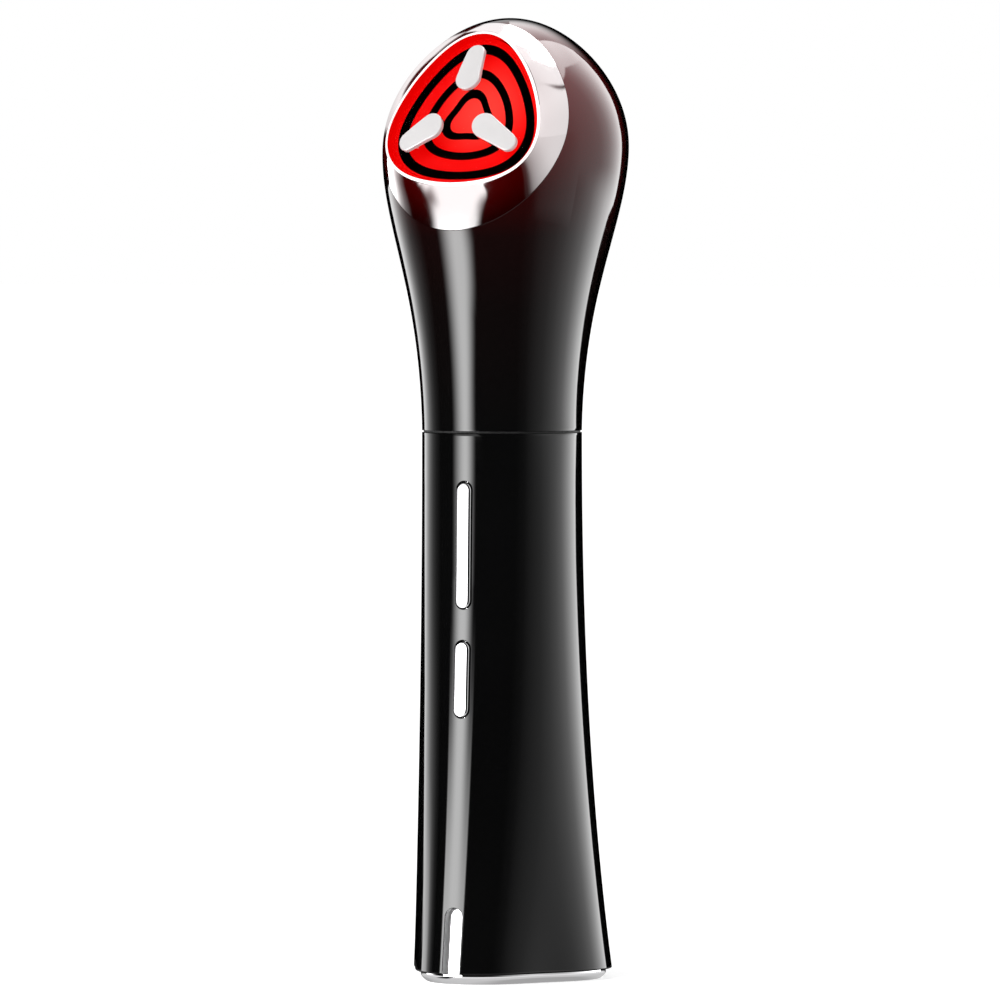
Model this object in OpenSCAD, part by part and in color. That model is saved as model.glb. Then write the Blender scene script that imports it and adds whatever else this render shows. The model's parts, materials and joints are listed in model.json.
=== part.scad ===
// Handheld facial toning wand with a lit treatment head.
// The handle stands on its foot. +Z is up and the front, with the buttons, faces -Y.
// The origin is on the table, under the centre line of the neck. Sizes are in millimetres.

/* [Overall] */
// Height from the table to the crown of the head
total_h = 200; // [190:1:215]
// Height of the line where the handle and the head meet
seam_z = 114; // [112:1:120]
// Gap at that line, filled by a dark gasket
seam_gap = 0.4; // [0.2:0.1:0.8]

/* [Handle] */
// Radius of the round neck
neck_r = 16.65; // [16.4:0.05:18.5]
// Mean radius of the foot
foot_r = 20.75; // [19.5:0.05:23]
// How far the foot is from round towards a triangle
foot_corner = 0.12; // [0.08:0.005:0.13]
// How late the handle flares, as a power
flare_power = 2.15; // [1.8:0.05:2.6]
// Wall of the handle
handle_wall = 1.8; // [1.5:0.1:2.1]
// Height of the handle's lower edge above the table
foot_z = 2.1; // [1.6:0.1:3]

/* [Head] */
// Radius of the head at its widest level
head_r = 25.66; // [25:0.01:28]
// Height of the crown above the widest level, as a share of the head's radius
cap_share = 1.069; // [1:0.001:1.2]
// How much the crown is fuller or flatter than half an ellipse
cap_trim = 0.107; // [0:0.001:0.12]
// How late the neck swells into the head, as a power
swell_power = 1.62; // [1.4:0.02:1.8]
// How much of the swell comes early, as a share
swell_blend = 0.54; // [0.3:0.01:0.7]
// How far the crown leans back
crown_lean = 3.64; // [2:0.01:4.5]
// How late the lean sets in, as a power
lean_power = 2.1; // [1.8:0.1:3]
// Wall of the head
head_wall = 2; // [1.6:0.1:2.2]

/* [Face] */
// Angle of the face above the horizontal
face_tilt = 24.35; // [20:0.5:28]
// How far the middle of the face is in front of the neck's centre line, as a share of the head's radius
face_reach = 0.621; // [0.58:0.001:0.66]
// How far the middle of the face is below the crown, as a share of the crown's height
face_drop = 0.7386; // [0.7:0.0001:0.78]
// Mean radius of the face's rim, as a share of the head's radius
face_share = 0.67; // [0.62:0.005:0.68]
// How far the rim is from round towards a triangle
face_corner = 0.088; // [0.04:0.004:0.1]
// How much the triangle's corners are tightened
face_tight = 0.009; // [0:0.001:0.015]
// Height of the rim above the head shell's edge at the face's top and bottom, as a share of head_r
rise_share = 0.1543; // [0.14:0.0001:0.17]
// How much deeper that edge lies at the sides of the face, as a share of head_r
bow_share = 0.0502; // [0:0.0001:0.06]
// How much deeper it lies at the bottom than in the middle, as a share of head_r
edge_lean_share = 0.0218; // [0:0.0001:0.03]
// How much deeper it lies under the rim's corners, as a share of head_r
edge_wave_share = 0.0139; // [0:0.0001:0.02]
// How far the bright band swells between its two edges
ring_swell = 0.15; // [0:0.05:0.8]
// Width of the rim's lip
lip_w = 0.4; // [0.3:0.05:0.7]
// Thickness of the rim's lip
lip_t = 0.5; // [0.4:0.05:0.8]
// Depth of the ring's skirt inside the head shell
skirt_h = 2.2; // [1.6:0.2:3]
// Thickness of the skirt
skirt_t = 1.2; // [1:0.1:1.5]

/* [Lens and light] */
// Height of the lens's dome above the rim
dome_h = 2.9; // [2.4:0.1:3.4]
// Thickness of the lens
lens_t = 1.1; // [0.9:0.1:1.3]
// Depth of the lit panel below the rim
panel_drop = 2.1; // [1.9:0.1:2.6]
// Thickness of the lit panel
panel_t = 1.2; // [1:0.1:1.5]
// Height of the dark contour lines on the panel
contour_h = 0.3; // [0.2:0.05:0.45]
// Edges of the outer contour line, as shares of the rim's mean radius
outer_contour = [0.779, 0.881];
// Edges of the middle contour line, as shares of the rim's mean radius
middle_contour = [0.497, 0.587];
// Edges of the inner contour line, as shares of the rim's mean radius
inner_contour = [0.235, 0.32];
// How triangular the outer, middle and inner contour lines are
contour_corner = [0.095, 0.085, 0.16];
// Depth of the reflector between the light board and the panel
reflector_h = 5.6; // [5:0.2:6.4]
// Wall of the reflector
reflector_wall = 1.4; // [1:0.1:1.6]
// Side of a light chip
chip_side = 2; // [1.6:0.1:2.4]
// Height of a light chip
chip_h = 0.8; // [0.5:0.1:1]
// Radii of the two rings of light chips, as shares of the rim's mean radius
chip_rings = [0.349, 0.628];

/* [Electrodes] */
// Distance from the face's middle to an electrode's inner end centre, as a share of the rim's radius
pad_inner_share = 0.4186; // [0.39:0.005:0.45]
// Distance from the face's middle to an electrode's outer end centre, as a share of the rim's radius
pad_outer_share = 0.779; // [0.74:0.005:0.79]
// Radius of an electrode's inner end
pad_inner_r = 2.7; // [2.3:0.1:2.9]
// Radius of an electrode's outer end
pad_outer_r = 2; // [1.7:0.1:2.2]
// How far an electrode stands proud of the lens
pad_proud = 0.25; // [0.15:0.05:0.4]
// Depth of an electrode's plate below the lens's outer surface
pad_depth = 0.9; // [0.7:0.1:1.2]
// Radius of the contact stem under an electrode
stem_r = 1.1; // [0.8:0.1:1.3]

/* [Buttons] */
// Distance from the seam down to the long button's slot
slot_drop = 10.05; // [9.8:0.05:12]
// Length of the long button's slot
long_len = 26.5; // [24:0.1:28]
// Distance between the two slots
slot_apart = 6.4; // [6:0.1:8]
// Length of the short button's slot
short_len = 16.1; // [14:0.1:18]
// Width of the slots
slot_w = 3.75; // [3.4:0.05:4.4]
// Clearance round a button in its slot
slot_clear = 0.2; // [0.15:0.05:0.3]
// How far a button stands proud of the handle
button_proud = 0.5; // [0.3:0.05:0.7]
// Radius of a button's upper edge
button_edge = 0.45; // [0.3:0.05:0.6]
// Wall left in front of a button's flange
slot_wall = 1.4; // [1.1:0.1:1.5]
// How far the flange reaches past the cap
flange_lip = 0.9; // [0.7:0.1:1.2]
// Thickness of the flange
flange_t = 0.8; // [0.6:0.1:1]
// Travel of a button
button_travel = 0.4; // [0.3:0.05:0.5]
// Radius of the pegs behind a button
peg_r = 1.4; // [1.2:0.1:1.5]

/* [Foot] */
// How far the foot plate's side is inside the handle's edge
plate_inset = 1.3; // [0.8:0.1:1.4]
// Height and depth of the foot plate's lower bevel
plate_edge = 1.1; // [0.6:0.1:1.3]
// Height of the front inlay's round top above the table
inlay_top = 15.75; // [12:0.05:20]
// Width of the front inlay
inlay_w = 3.8; // [3:0.1:5]
// How far the pad that backs the inlay reaches past it
backing_lip = 1; // [0.6:0.1:1.4]
// Thickness of that pad
backing_t = 1.4; // [1:0.1:1.6]
// Clearance round the front inlay
inlay_clear = 0.08; // [0.05:0.01:0.12]
// Thickness of the foot carrier's floor
carrier_t = 2; // [1.6:0.1:2.6]
// Height of the foot carrier's wall
carrier_h = 7; // [6:0.5:8]
// Radius of a charging contact
contact_r = 2; // [1.6:0.1:2.2]
// Distance between the charging contacts
contact_pitch = 9; // [8:0.5:11]

/* [Inner parts] */
// Diameter of the battery cell
battery_d = 18; // [16:0.1:18.4]
// Length of the battery cell
battery_h = 65; // [60:0.5:66]
// Lower end of the battery cell
battery_z = 24; // [22:0.5:26]
// Thickness of the circuit boards
board_t = 1.2; // [1:0.1:1.6]
// Half width of the main board
board_half_w = 6.7; // [6:0.1:6.8]
// Lower end of the main board
board_z0 = 13; // [12:0.5:15]
// Thickness of the chassis spine
spine_t = 1.5; // [1.2:0.1:1.7]
// Height of the switch bodies on the main board
switch_h = 2; // [1.6:0.1:2.2]
// Side of a switch body
switch_side = 6; // [5:0.1:6.2]
// Radius of a switch's plunger
plunger_r = 1.6; // [1.2:0.1:1.8]
// How far a plunger stands out of its switch
plunger_out = 0.8; // [0.7:0.05:1]
// Radius of the vibration motor
motor_r = 5; // [4.5:0.1:5.4]
// Length of the vibration motor
motor_h = 18; // [15:0.5:20]
// Radius of the motor's shaft
shaft_r = 1; // [0.7:0.05:1.2]
// Radius of the motor's eccentric weight
weight_r = 4.4; // [3.8:0.1:4.8]
// Length of the motor's eccentric weight
weight_h = 6; // [5:0.5:8]
// Wall of the motor's rubber sleeve
sleeve_t = 1.4; // [1:0.1:1.8]
// Height of the neck collar above the seam
collar_up = 12; // [10:0.5:14]
// Depth of the neck collar below the seam
collar_down = 7; // [6:0.5:8]
// Wall of the neck collar
collar_t = 1.4; // [1.1:0.1:1.8]
// Width of the flat cable to the head
cable_w = 5; // [4:0.5:6]
// Thickness of the flat cable
cable_t = 0.4; // [0.3:0.05:0.5]

/* [Fits] */
// Slack between a shell and what slides into it
fit = 0.25; // [0.15:0.05:0.35]
// Slack between close pieces inside the head
close_fit = 0.15; // [0.1:0.05:0.2]
// Running clearance of the motor's shaft in its bore
run_fit = 0.05; // [0.03:0.01:0.08]
// Radius of a small screw's shank
screw_r = 1; // [0.8:0.1:1.2]
// Radius of a small screw's head
screw_head_r = 1.8; // [1.6:0.1:2]
// Height of a small screw's head
screw_head_h = 1.2; // [1:0.1:1.4]

/* [Hidden] */
// Number of sides of the shells
sides = 48;
// Levels of the handle's outer and inner surface
handle_levels = 11;
handle_inner_levels = 6;
// Levels of the head's outer and inner surface, below and above its widest level
neck_levels = 12;
cap_levels = 9;
big = 400;

cap_h = head_r * cap_share;
wide_z = total_h - cap_h;
long_z1 = seam_z - slot_drop;
long_z0 = long_z1 - long_len;
short_z1 = long_z0 - slot_apart;
short_z0 = short_z1 - short_len;
neck_inner_r = neck_r - handle_wall;
collar_r = neck_r - max(handle_wall, head_wall) - fit;
handle_top_z = seam_z - seam_gap / 2;
head_bottom_z = seam_z + seam_gap / 2;

// A rounded triangle in plan: the radius at an angle from its corner
function corner_r(a, r, k, k6 = 0) = r * (1 + k * cos(3 * a) + k6 * cos(6 * a));

// Handle: the share of the flare reached at a height, then radius, corner and front line
function flare(z) = pow(max(0, 1 - z / seam_z), flare_power);
function handle_r(a, z) =
    corner_r(a, neck_r + (foot_r - neck_r) * flare(z), foot_corner * flare(z));
function front_y(z) = -handle_r(0, z);
function handle_ring(z, inset = 0, z_at = undef) =
    [for (i = [0:sides - 1]) let (a = i * 360 / sides, r = handle_r(a, z) - inset)
        [r * sin(a), -r * cos(a), is_undef(z_at) ? z : z_at]];

// Head: radius of the level slice and how far its centre leans back
function swell(z) =
    let (u = pow(max(0, min(1, (z - seam_z) / (wide_z - seam_z))), swell_power))
    (1 - swell_blend) * (1 - cos(180 * u)) / 2 + swell_blend * sin(90 * u);
function cap(z) =
    let (s = max(0, min(1, (z - wide_z) / cap_h)))
    sqrt(1 - s * s) * (1 - cap_trim * s * s);
function head_slice_r(z) =
    z > wide_z ? head_r * cap(z) : neck_r + (head_r - neck_r) * swell(z);
function head_y(z) =
    crown_lean * pow(max(0, (z - seam_z) / (total_h - seam_z)), lean_power);
// The inner surface is the same form with its radii and its crown drawn in by the wall
function head_wall_r(z, inset) =
    let (zi = z > wide_z ? wide_z + (z - wide_z) * cap_h / (cap_h - inset) : z)
    zi > total_h ? 0 : head_slice_r(zi) - inset * (z > wide_z ? cap(zi) : 1);
function head_ring(z, inset = 0) =
    [for (i = [0:sides - 1]) let (a = i * 360 / sides, r = max(0.02, head_wall_r(z, inset)))
        [r * sin(a), head_y(z) - r * cos(a), z]];
function head_heights(z0, z1, n) =
    concat([for (i = [0:neck_levels]) z0 + (wide_z - z0) * i / neck_levels],
        [for (i = [1:n]) wide_z + (z1 - wide_z) * sin(90 * i / n)]);

// Face frame: its origin is the middle of the rim, its Z leaves the face, its Y is up the face
face_r = head_r * face_share;
ring_rise = head_r * rise_share;
edge_bow = head_r * bow_share;
edge_lean = head_r * edge_lean_share;
edge_wave = head_r * edge_wave_share;
face_at = [0, -head_r * face_reach, total_h - cap_h * face_drop];
module on_face(h = 0) {
    translate(face_at) rotate([90 - face_tilt, 0, 0]) translate([0, 0, h]) children();
}
// Point of the face frame in the part's frame
function from_face(p) = face_at + [p[0],
    p[1] * sin(face_tilt) - p[2] * cos(face_tilt),
    p[1] * cos(face_tilt) + p[2] * sin(face_tilt)];
function in_head(p, inset) =
    let (q = from_face(p), r = head_wall_r(q[2], inset))
    q[0] * q[0] + pow(q[1] - head_y(q[2]), 2) < r * r;
// Distance from the face's axis to the head's surface, at an angle from the bottom of the face
function edge_r(a, h, inset, low = 0, high = 2 * head_r, steps = 18) =
    let (mid = (low + high) / 2)
    steps == 0 ? mid :
    in_head([mid * sin(a), -mid * cos(a), h], inset)
        ? edge_r(a, h, inset, mid, high, steps - 1)
        : edge_r(a, h, inset, low, mid, steps - 1);
// The rim's outline, a rounded triangle with one corner up, drawn in by an inset
function rim_r(a, inset = 0) = corner_r(a, face_r, -face_corner, face_tight) - inset;
function rim_ring(h, inset = 0) =
    [for (i = [0:sides - 1]) let (a = i * 360 / sides, r = rim_r(a, inset))
        [r * sin(a), -r * cos(a), h]];
// The head shell's edge: its depth round the face, and its outline drawn in by a wall
function edge_z(a) =
    -ring_rise - edge_bow * pow(sin(a), 2) - edge_lean * cos(a) + edge_wave * cos(3 * a);
function edge_ring(inset, lift = 0) =
    [for (i = [0:sides - 1]) let (a = i * 360 / sides, r = edge_r(a, edge_z(a), inset))
        [r * sin(a), -r * cos(a), edge_z(a) + lift]];
function round_ring(r, h = undef) =
    [for (i = [0:sides - 1]) let (a = i * 360 / sides)
        [r * sin(a), -r * cos(a), is_undef(h) ? edge_z(a) : h]];

// Closed solid through rings of points, from its lowest ring to its highest
module loft(rings) {
    n = len(rings[0]);
    m = len(rings);
    polyhedron(
        points = [for (ring = rings) each ring],
        faces = concat(
            [[for (j = [0:n - 1]) j]],
            [for (i = [0:m - 2]) for (j = [0:n - 1]) each [
                [i * n + j, (i + 1) * n + j, (i + 1) * n + (j + 1) % n],
                [i * n + j, (i + 1) * n + (j + 1) % n, i * n + (j + 1) % n]]],
            [[for (j = [0:n - 1]) m * n - 1 - j]]));
}

// Plan outline of the rim drawn in, as a flat polygon
module rim_plan(inset = 0, r = face_r, k = face_corner) {
    polygon([for (i = [0:sides - 1]) let (a = i * 360 / sides)
        (corner_r(a, r, -k, face_tight) - inset) * [sin(a), -cos(a)]]);
}

// Handle interior: planes across the barrel, from the battery forwards
spine_back_y = -4.7;
spine_front_y = spine_back_y - spine_t;
board_front_y = spine_front_y - board_t;
switch_front_y = board_front_y - switch_h;
plunger_y = switch_front_y - plunger_out;
guide_t = 1;
guide_gap = 0.4;
peg_gap = 0.1;
guide_back_y = plunger_y - guide_gap;
guide_front_y = guide_back_y - guide_t;
guide_below = 3.3;
guide_above = 1;
guide_z0 = short_z0 - guide_below;
guide_z1 = long_z1 + guide_above;
long_peg_pitch = 8;
rail_w = 1.4;
rail_x0 = board_half_w + close_fit;
guide_half_w = rail_x0 + rail_w;
board_top_gap = 1.5;
board_z1 = guide_z1 - board_top_gap;
bulkhead_t = 2;
chassis_z0 = foot_z + carrier_h;
chassis_z1 = seam_z - collar_down;
battery_gap = 0.3;
battery_r = battery_d / 2;
battery_y = spine_back_y + battery_gap + battery_r;
battery_cap_r = 3;
battery_cap_h = 0.8;
clip_t = 1.2;
clip_h = 6;
clip_reach = 2;
stop_t = 1.5;
stop_half_w = 4;

// Room across the barrel at a depth, inside a radius
function half_chord(y, r) = sqrt(max(0, r * r - y * y));

// Buttons: the slot follows the front line between its two ends
slot_deep = 6;
flange_gap = 0.1;
function slot_mid(z0, z1) = [0, (front_y(z0) + front_y(z1)) / 2, (z0 + z1) / 2];
function slot_lean(z0, z1) = atan2(front_y(z1) - front_y(z0), z1 - z0);
function slot_len(z0, z1) = norm([front_y(z1) - front_y(z0), z1 - z0]);
module at_slot(z0, z1) {
    translate(slot_mid(z0, z1)) rotate([-slot_lean(z0, z1), 0, 0]) children();
}

// Upright bar with round ends, w wide and len tall, from y0 to y1 in depth
module bar(w, len, y0, y1) {
    translate([0, y1, 0]) rotate([90, 0, 0]) linear_extrude(y1 - y0) {
        square([w, len - w], center = true);
        for (s = [-1, 1]) translate([0, s * (len - w) / 2]) circle(d = w, $fn = 48);
    }
}

// The same bar with its front edge rounded
module soft_bar(w, len, y0, y1, edge) {
    steps = 5;
    half = concat([[0, -y1], [w / 2, -y1]],
        [for (i = [0:steps]) let (a = 90 * i / steps)
            [w / 2 - edge + edge * cos(a), -y0 - edge + edge * sin(a)]],
        [[0, -y0]]);
    rotate([90, 0, 0]) {
        for (s = [-1, 1]) translate([0, s * (len - w) / 2, 0])
            rotate_extrude($fn = 48) polygon(half);
        rotate([90, 0, 0]) linear_extrude(len - w, center = true)
            polygon(concat(half, [for (i = [len(half) - 2:-1:1]) [-half[i][0], half[i][1]]]));
    }
}

module handle_body(inset = 0, z0 = foot_z, z1 = handle_top_z, n = handle_levels) {
    loft([for (i = [0:n]) handle_ring(z0 + (z1 - z0) * i / n, inset)]);
}

module handle_plan(z, inset) {
    polygon([for (p = handle_ring(z, inset)) [p[0], p[1]]]);
}

// Round-topped strip on the front line, from the foot to a height
module inlay_bar(grow) {
    w = inlay_w + 2 * grow;
    translate([0, -big / 4, 0]) {
        translate([-w / 2, 0, -big / 4]) cube([w, big / 4, big / 4 + inlay_top - inlay_w / 2]);
        translate([0, big / 4, inlay_top - inlay_w / 2]) rotate([90, 0, 0])
            cylinder(h = big / 4, d = w, $fn = 48);
    }
}

module slot_cut(z0, z1) {
    len = slot_len(z0, z1);
    room = flange_lip + 2 * slot_clear;
    at_slot(z0, z1) {
        bar(slot_w, len, -slot_deep, slot_deep);
        bar(slot_w + 2 * room, len + 2 * room, slot_wall, slot_deep);
    }
}

// The hollow of the handle, with straight ends that pass out through both openings
module handle_hollow() {
    end_h = 1;
    z0 = foot_z + end_h;
    z1 = handle_top_z - end_h;
    loft(concat(
        [handle_ring(z0, handle_wall, foot_z - end_h)],
        [for (i = [0:handle_inner_levels])
            handle_ring(z0 + (z1 - z0) * i / handle_inner_levels, handle_wall)],
        [handle_ring(z1, handle_wall, handle_top_z + end_h)]));
}

module handle_shell() {
    color("#111113") difference() {
        handle_body();
        handle_hollow();
        slot_cut(long_z0, long_z1);
        slot_cut(short_z0, short_z1);
        inlay_bar(inlay_clear);
    }
}

// The inlay's back and the pad behind it follow the handle's inner wall
backing_top = inlay_top + backing_lip;
module backing_form(inset) {
    handle_body(inset, foot_z - 1, backing_top + 1, 5);
}

// The strip lies as deep as the side of the foot plate, which it runs into
module front_inlay() {
    color("#e8e8ea") difference() {
        intersection() {
            handle_body(plate_inset, foot_z, inlay_top + 1, 4);
            inlay_bar(0);
        }
        backing_form(handle_wall + fit);
    }
}

// Pad on the foot carrier that closes the handle's window behind the inlay
module inlay_backing(grow = 0) {
    half_w = inlay_w / 2 + backing_lip + grow;
    intersection() {
        difference() {
            backing_form(handle_wall + fit - grow);
            backing_form(handle_wall + fit + backing_t + grow);
        }
        translate([-half_w, -big / 2, foot_z]) cube([2 * half_w, big / 2, backing_top + grow - foot_z]);
    }
}

module long_button() {
    button(long_z0, long_z1, long_peg_pitch);
}

module short_button() {
    button(short_z0, short_z1, 0);
}

// Places of the pegs along a button: one in the middle, and one each side where there is a pitch
function pegs(pitch) = pitch > 0 ? [-pitch, 0, pitch] : [0];

// Cap, flange and the pegs that reach the switch and the guide
module button(z0, z1, pitch) {
    len = slot_len(z0, z1) - 2 * slot_clear;
    flange_y = slot_wall + flange_gap;
    peg_back = plunger_y - peg_gap - slot_mid(z0, z1)[1];
    color("#f2f2f4") at_slot(z0, z1) {
        soft_bar(slot_w - 2 * slot_clear, len, -button_proud, flange_y + flange_t / 2,
            button_edge);
        bar(slot_w + 2 * flange_lip, len + 2 * (slot_clear + flange_lip), flange_y,
            flange_y + flange_t);
        for (z = pegs(pitch)) translate([0, flange_y + flange_t / 2, z]) rotate([-90, 0, 0])
            cylinder(h = peg_back - flange_y - flange_t / 2, r = peg_r, $fn = 32);
    }
}

module peg_holes(z0, z1, pitch) {
    at_slot(z0, z1) for (z = pegs(pitch)) translate([0, 0, z]) rotate([-90, 0, 0])
        cylinder(h = foot_r, r = peg_r + close_fit, $fn = 32);
}

// Plate behind the flanges that keeps the pegs square to the slots
module button_guide() {
    half_w = min(guide_half_w, half_chord(guide_front_y, neck_inner_r - fit));
    color("#3a3b40") difference() {
        translate([-half_w, guide_front_y, guide_z0])
            cube([2 * half_w, guide_t, guide_z1 - guide_z0]);
        peg_holes(long_z0, long_z1, long_peg_pitch);
        peg_holes(short_z0, short_z1, 0);
    }
}

// Switches: each bore is deep enough for its plunger to travel with the button
switch_floor = 0.5;
travel_spare = 0.2;
bore_h = switch_h - switch_floor;
function switch_z(z0, z1) =
    (z0 + z1) / 2 - (plunger_y - slot_mid(z0, z1)[1]) * tan(slot_lean(z0, z1));

module switch_bodies() {
    color("#2a2a2e") for (z = [switch_z(long_z0, long_z1), switch_z(short_z0, short_z1)])
        difference() {
            translate([-switch_side / 2, switch_front_y, z - switch_side / 2])
                cube([switch_side, switch_h, switch_side]);
            translate([0, switch_front_y - 1, z]) rotate([-90, 0, 0])
                cylinder(h = 1 + bore_h, r = plunger_r + run_fit, $fn = 32);
        }
}

module plunger(z) {
    color("#8a4b2a") translate([0, plunger_y, z]) rotate([-90, 0, 0])
        cylinder(h = plunger_out + bore_h - button_travel - travel_spare, r = plunger_r, $fn = 32);
}

module long_plunger() {
    plunger(switch_z(long_z0, long_z1));
}

module short_plunger() {
    plunger(switch_z(short_z0, short_z1));
}

// Screw along +Z, with its head below
module screw(shank) {
    translate([0, 0, -screw_head_h]) cylinder(h = screw_head_h, r = screw_head_r, $fn = 32);
    cylinder(h = shank, r = screw_r, $fn = 32);
}

screw_x = 4.4;
screw_edge = 3.5;
board_screw_at = [for (x = [-screw_x, screw_x])
    for (z = [board_z0 + screw_edge, guide_z0 - screw_edge]) [x, z]];
module at_board_screws() {
    for (p = board_screw_at) translate([p[0], board_front_y, p[1]]) rotate([-90, 0, 0])
        children();
}

module main_board() {
    color("#1f6b45") difference() {
        translate([-board_half_w, board_front_y, board_z0])
            cube([2 * board_half_w, board_t, board_z1 - board_z0]);
        at_board_screws() translate([0, 0, -1])
            cylinder(h = board_t + 2, r = screw_r + close_fit, $fn = 32);
    }
}

module board_screws() {
    color("#b8babf") at_board_screws() screw(board_t + spine_t - 0.2);
}

// One chip with two capacitors above it, between the board's upper screws and the coil
chip = [6, 1, 5.8];
cap_size = [3, 1.4, 2];
cap_gap = 0.6;
screw_gap = 0.8;
cap_z = guide_z0 - screw_edge - screw_head_r - screw_gap - cap_size[2];
chip_z = cap_z - cap_gap - chip[2];
module board_parts() {
    cap_x = 4.1;
    color("#26272b") translate([0, board_front_y, 0]) {
        translate([-chip[0] / 2, -chip[1], chip_z]) cube(chip);
        for (x = [-cap_x, cap_x]) translate([x - cap_size[0] / 2, -cap_size[1], cap_z])
            cube(cap_size);
    }
}

// Winding between two end plates that stand on the board below the chip
module pulse_coil() {
    above_screws = 3.7;
    below_chip = 2.5;
    coil_z = board_z0 + screw_edge + screw_head_r + above_screws;
    coil_h = chip_z - below_chip - coil_z;
    coil_w = 10;
    coil_d = 6;
    end_t = 1.6;
    winding_r = 2.8;
    color("#c08a3a") translate([0, board_front_y - coil_d, coil_z]) {
        for (z = [0, coil_h - end_t]) translate([-coil_w / 2, 0, z])
            cube([coil_w, coil_d, end_t]);
        translate([0, coil_d / 2, end_t / 2])
            cylinder(h = coil_h - end_t, r = winding_r, $fn = 32);
    }
}

module battery() {
    color("#3f6fb5") translate([0, battery_y, battery_z]) {
        cylinder(h = battery_h, r = battery_r, $fn = 64);
        translate([0, 0, battery_h]) cylinder(h = battery_cap_h, r = battery_cap_r, $fn = 32);
    }
}

// Spine with the board's rails, the cell's clips and stops, and a bulkhead at each end
module chassis() {
    clip_shares = [0.12, 0.78];
    boss_h = 2;
    boss_wall = 1.6;
    color("#4a4c52") difference() {
        union() {
            translate([-guide_half_w, spine_back_y - spine_t, chassis_z0])
                cube([2 * guide_half_w, spine_t, chassis_z1 - chassis_z0]);
            for (s = [-1, 1])
                translate([s * (rail_x0 + rail_w / 2) - rail_w / 2, guide_back_y, guide_z0])
                    cube([rail_w, spine_front_y - guide_back_y + 0.5, guide_z1 - guide_z0]);
            for (share = clip_shares)
                translate([0, battery_y, battery_z + share * battery_h]) clip();
            for (z = [battery_z - stop_t, battery_z + battery_h + battery_cap_h])
                translate([-stop_half_w, spine_back_y - spine_t / 2, z])
                    cube([2 * stop_half_w, battery_r + spine_t / 2, stop_t]);
            translate([0, 0, chassis_z0]) linear_extrude(bulkhead_t)
                handle_plan(chassis_z0 + bulkhead_t, handle_wall + fit);
            for (p = foot_screw_at) translate([p[0], p[1], chassis_z0])
                cylinder(h = bulkhead_t + boss_h, r = screw_r + boss_wall, $fn = 32);
            intersection() {
                translate([0, 0, chassis_z1 - bulkhead_t])
                    cylinder(h = bulkhead_t, r = neck_inner_r - fit, $fn = 64);
                translate([-big / 2, spine_front_y, 0]) cube([big, big, big]);
            }
        }
        at_board_screws() cylinder(h = board_t + spine_t + 1, r = screw_r + run_fit, $fn = 32);
        for (p = foot_screw_at) translate([p[0], p[1], chassis_z0 - 1])
            cylinder(h = bulkhead_t + boss_h + 2, r = screw_r + run_fit, $fn = 32);
        inlay_backing(close_fit);
    }
}

module clip() {
    difference() {
        cylinder(h = clip_h, r = battery_r + battery_gap + clip_t, $fn = 64);
        translate([0, 0, -1]) cylinder(h = clip_h + 2, r = battery_r + battery_gap, $fn = 64);
        translate([-big / 2, clip_reach, -1]) cube([big, big, clip_h + 2]);
    }
}

// Foot
foot_screw_ring = 11.5;
foot_screw_at = [for (a = [60, 180, 300]) foot_screw_ring * [sin(a), -cos(a)]];
foot_head_gap = 0.2;
foot_head_z = foot_z + screw_head_h + foot_head_gap;
foot_bite = 1.5;

// The bevel bulges a little, as a power of the share of its height
module foot_plate() {
    steps = 3;
    bevel_power = 1.4;
    color("#e8e8ea") difference() {
        loft(concat(
            [for (i = [0:steps]) let (t = i / steps)
                handle_ring(foot_z, plate_inset + plate_edge * pow(1 - t, bevel_power),
                    plate_edge * t)],
            [handle_ring(foot_z, plate_inset, foot_z)]));
        for (s = [-1, 1]) translate([s * contact_pitch / 2, 0, -1])
            cylinder(h = foot_z + 2, r = contact_r + run_fit, $fn = 48);
    }
}

module charge_contacts() {
    recess = 0.1;
    color("#d8b25a") for (s = [-1, 1]) translate([s * contact_pitch / 2, 0, recess]) {
        cylinder(h = foot_z - recess, r = contact_r, $fn = 48);
        cylinder(h = foot_z + carrier_t - recess, r = contact_r / 2, $fn = 32);
    }
}

module charge_board() {
    depth = 6;
    color("#1f6b45") translate([-contact_pitch / 2 - contact_r, -depth / 2, foot_z + carrier_t])
        cube([contact_pitch + 2 * contact_r, depth, board_t]);
}

// Cup that closes the handle from below and carries the chassis
module foot_carrier() {
    wall = 1.4;
    boss_wall = 0.9;
    color("#4a4c52") difference() {
        union() {
            difference() {
                translate([0, 0, foot_z]) linear_extrude(carrier_h)
                    handle_plan(foot_z + carrier_h, handle_wall + fit);
                translate([0, 0, foot_z + carrier_t]) linear_extrude(carrier_h)
                    handle_plan(foot_z + carrier_h, handle_wall + fit + wall);
            }
            for (p = foot_screw_at) translate([p[0], p[1], foot_z])
                cylinder(h = carrier_h, r = screw_head_r + boss_wall, $fn = 32);
            inlay_backing();
        }
        for (p = foot_screw_at) translate([p[0], p[1], foot_z - 1]) {
            cylinder(h = foot_head_z - foot_z + 1, r = screw_head_r + close_fit, $fn = 32);
            cylinder(h = carrier_h + 2, r = screw_r + close_fit, $fn = 32);
        }
        for (s = [-1, 1]) translate([s * contact_pitch / 2, 0, foot_z - 1])
            cylinder(h = carrier_t + 2, r = contact_r / 2 + close_fit, $fn = 32);
    }
}

module foot_screws() {
    color("#b8babf") for (p = foot_screw_at) translate([p[0], p[1], foot_head_z])
        screw(chassis_z0 + bulkhead_t + foot_bite - foot_head_z);
}

// Head, from the seam up
module head_body(inset, z0) {
    loft([for (z = head_heights(z0, total_h - inset, cap_levels)) head_ring(z, inset)]);
}

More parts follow.
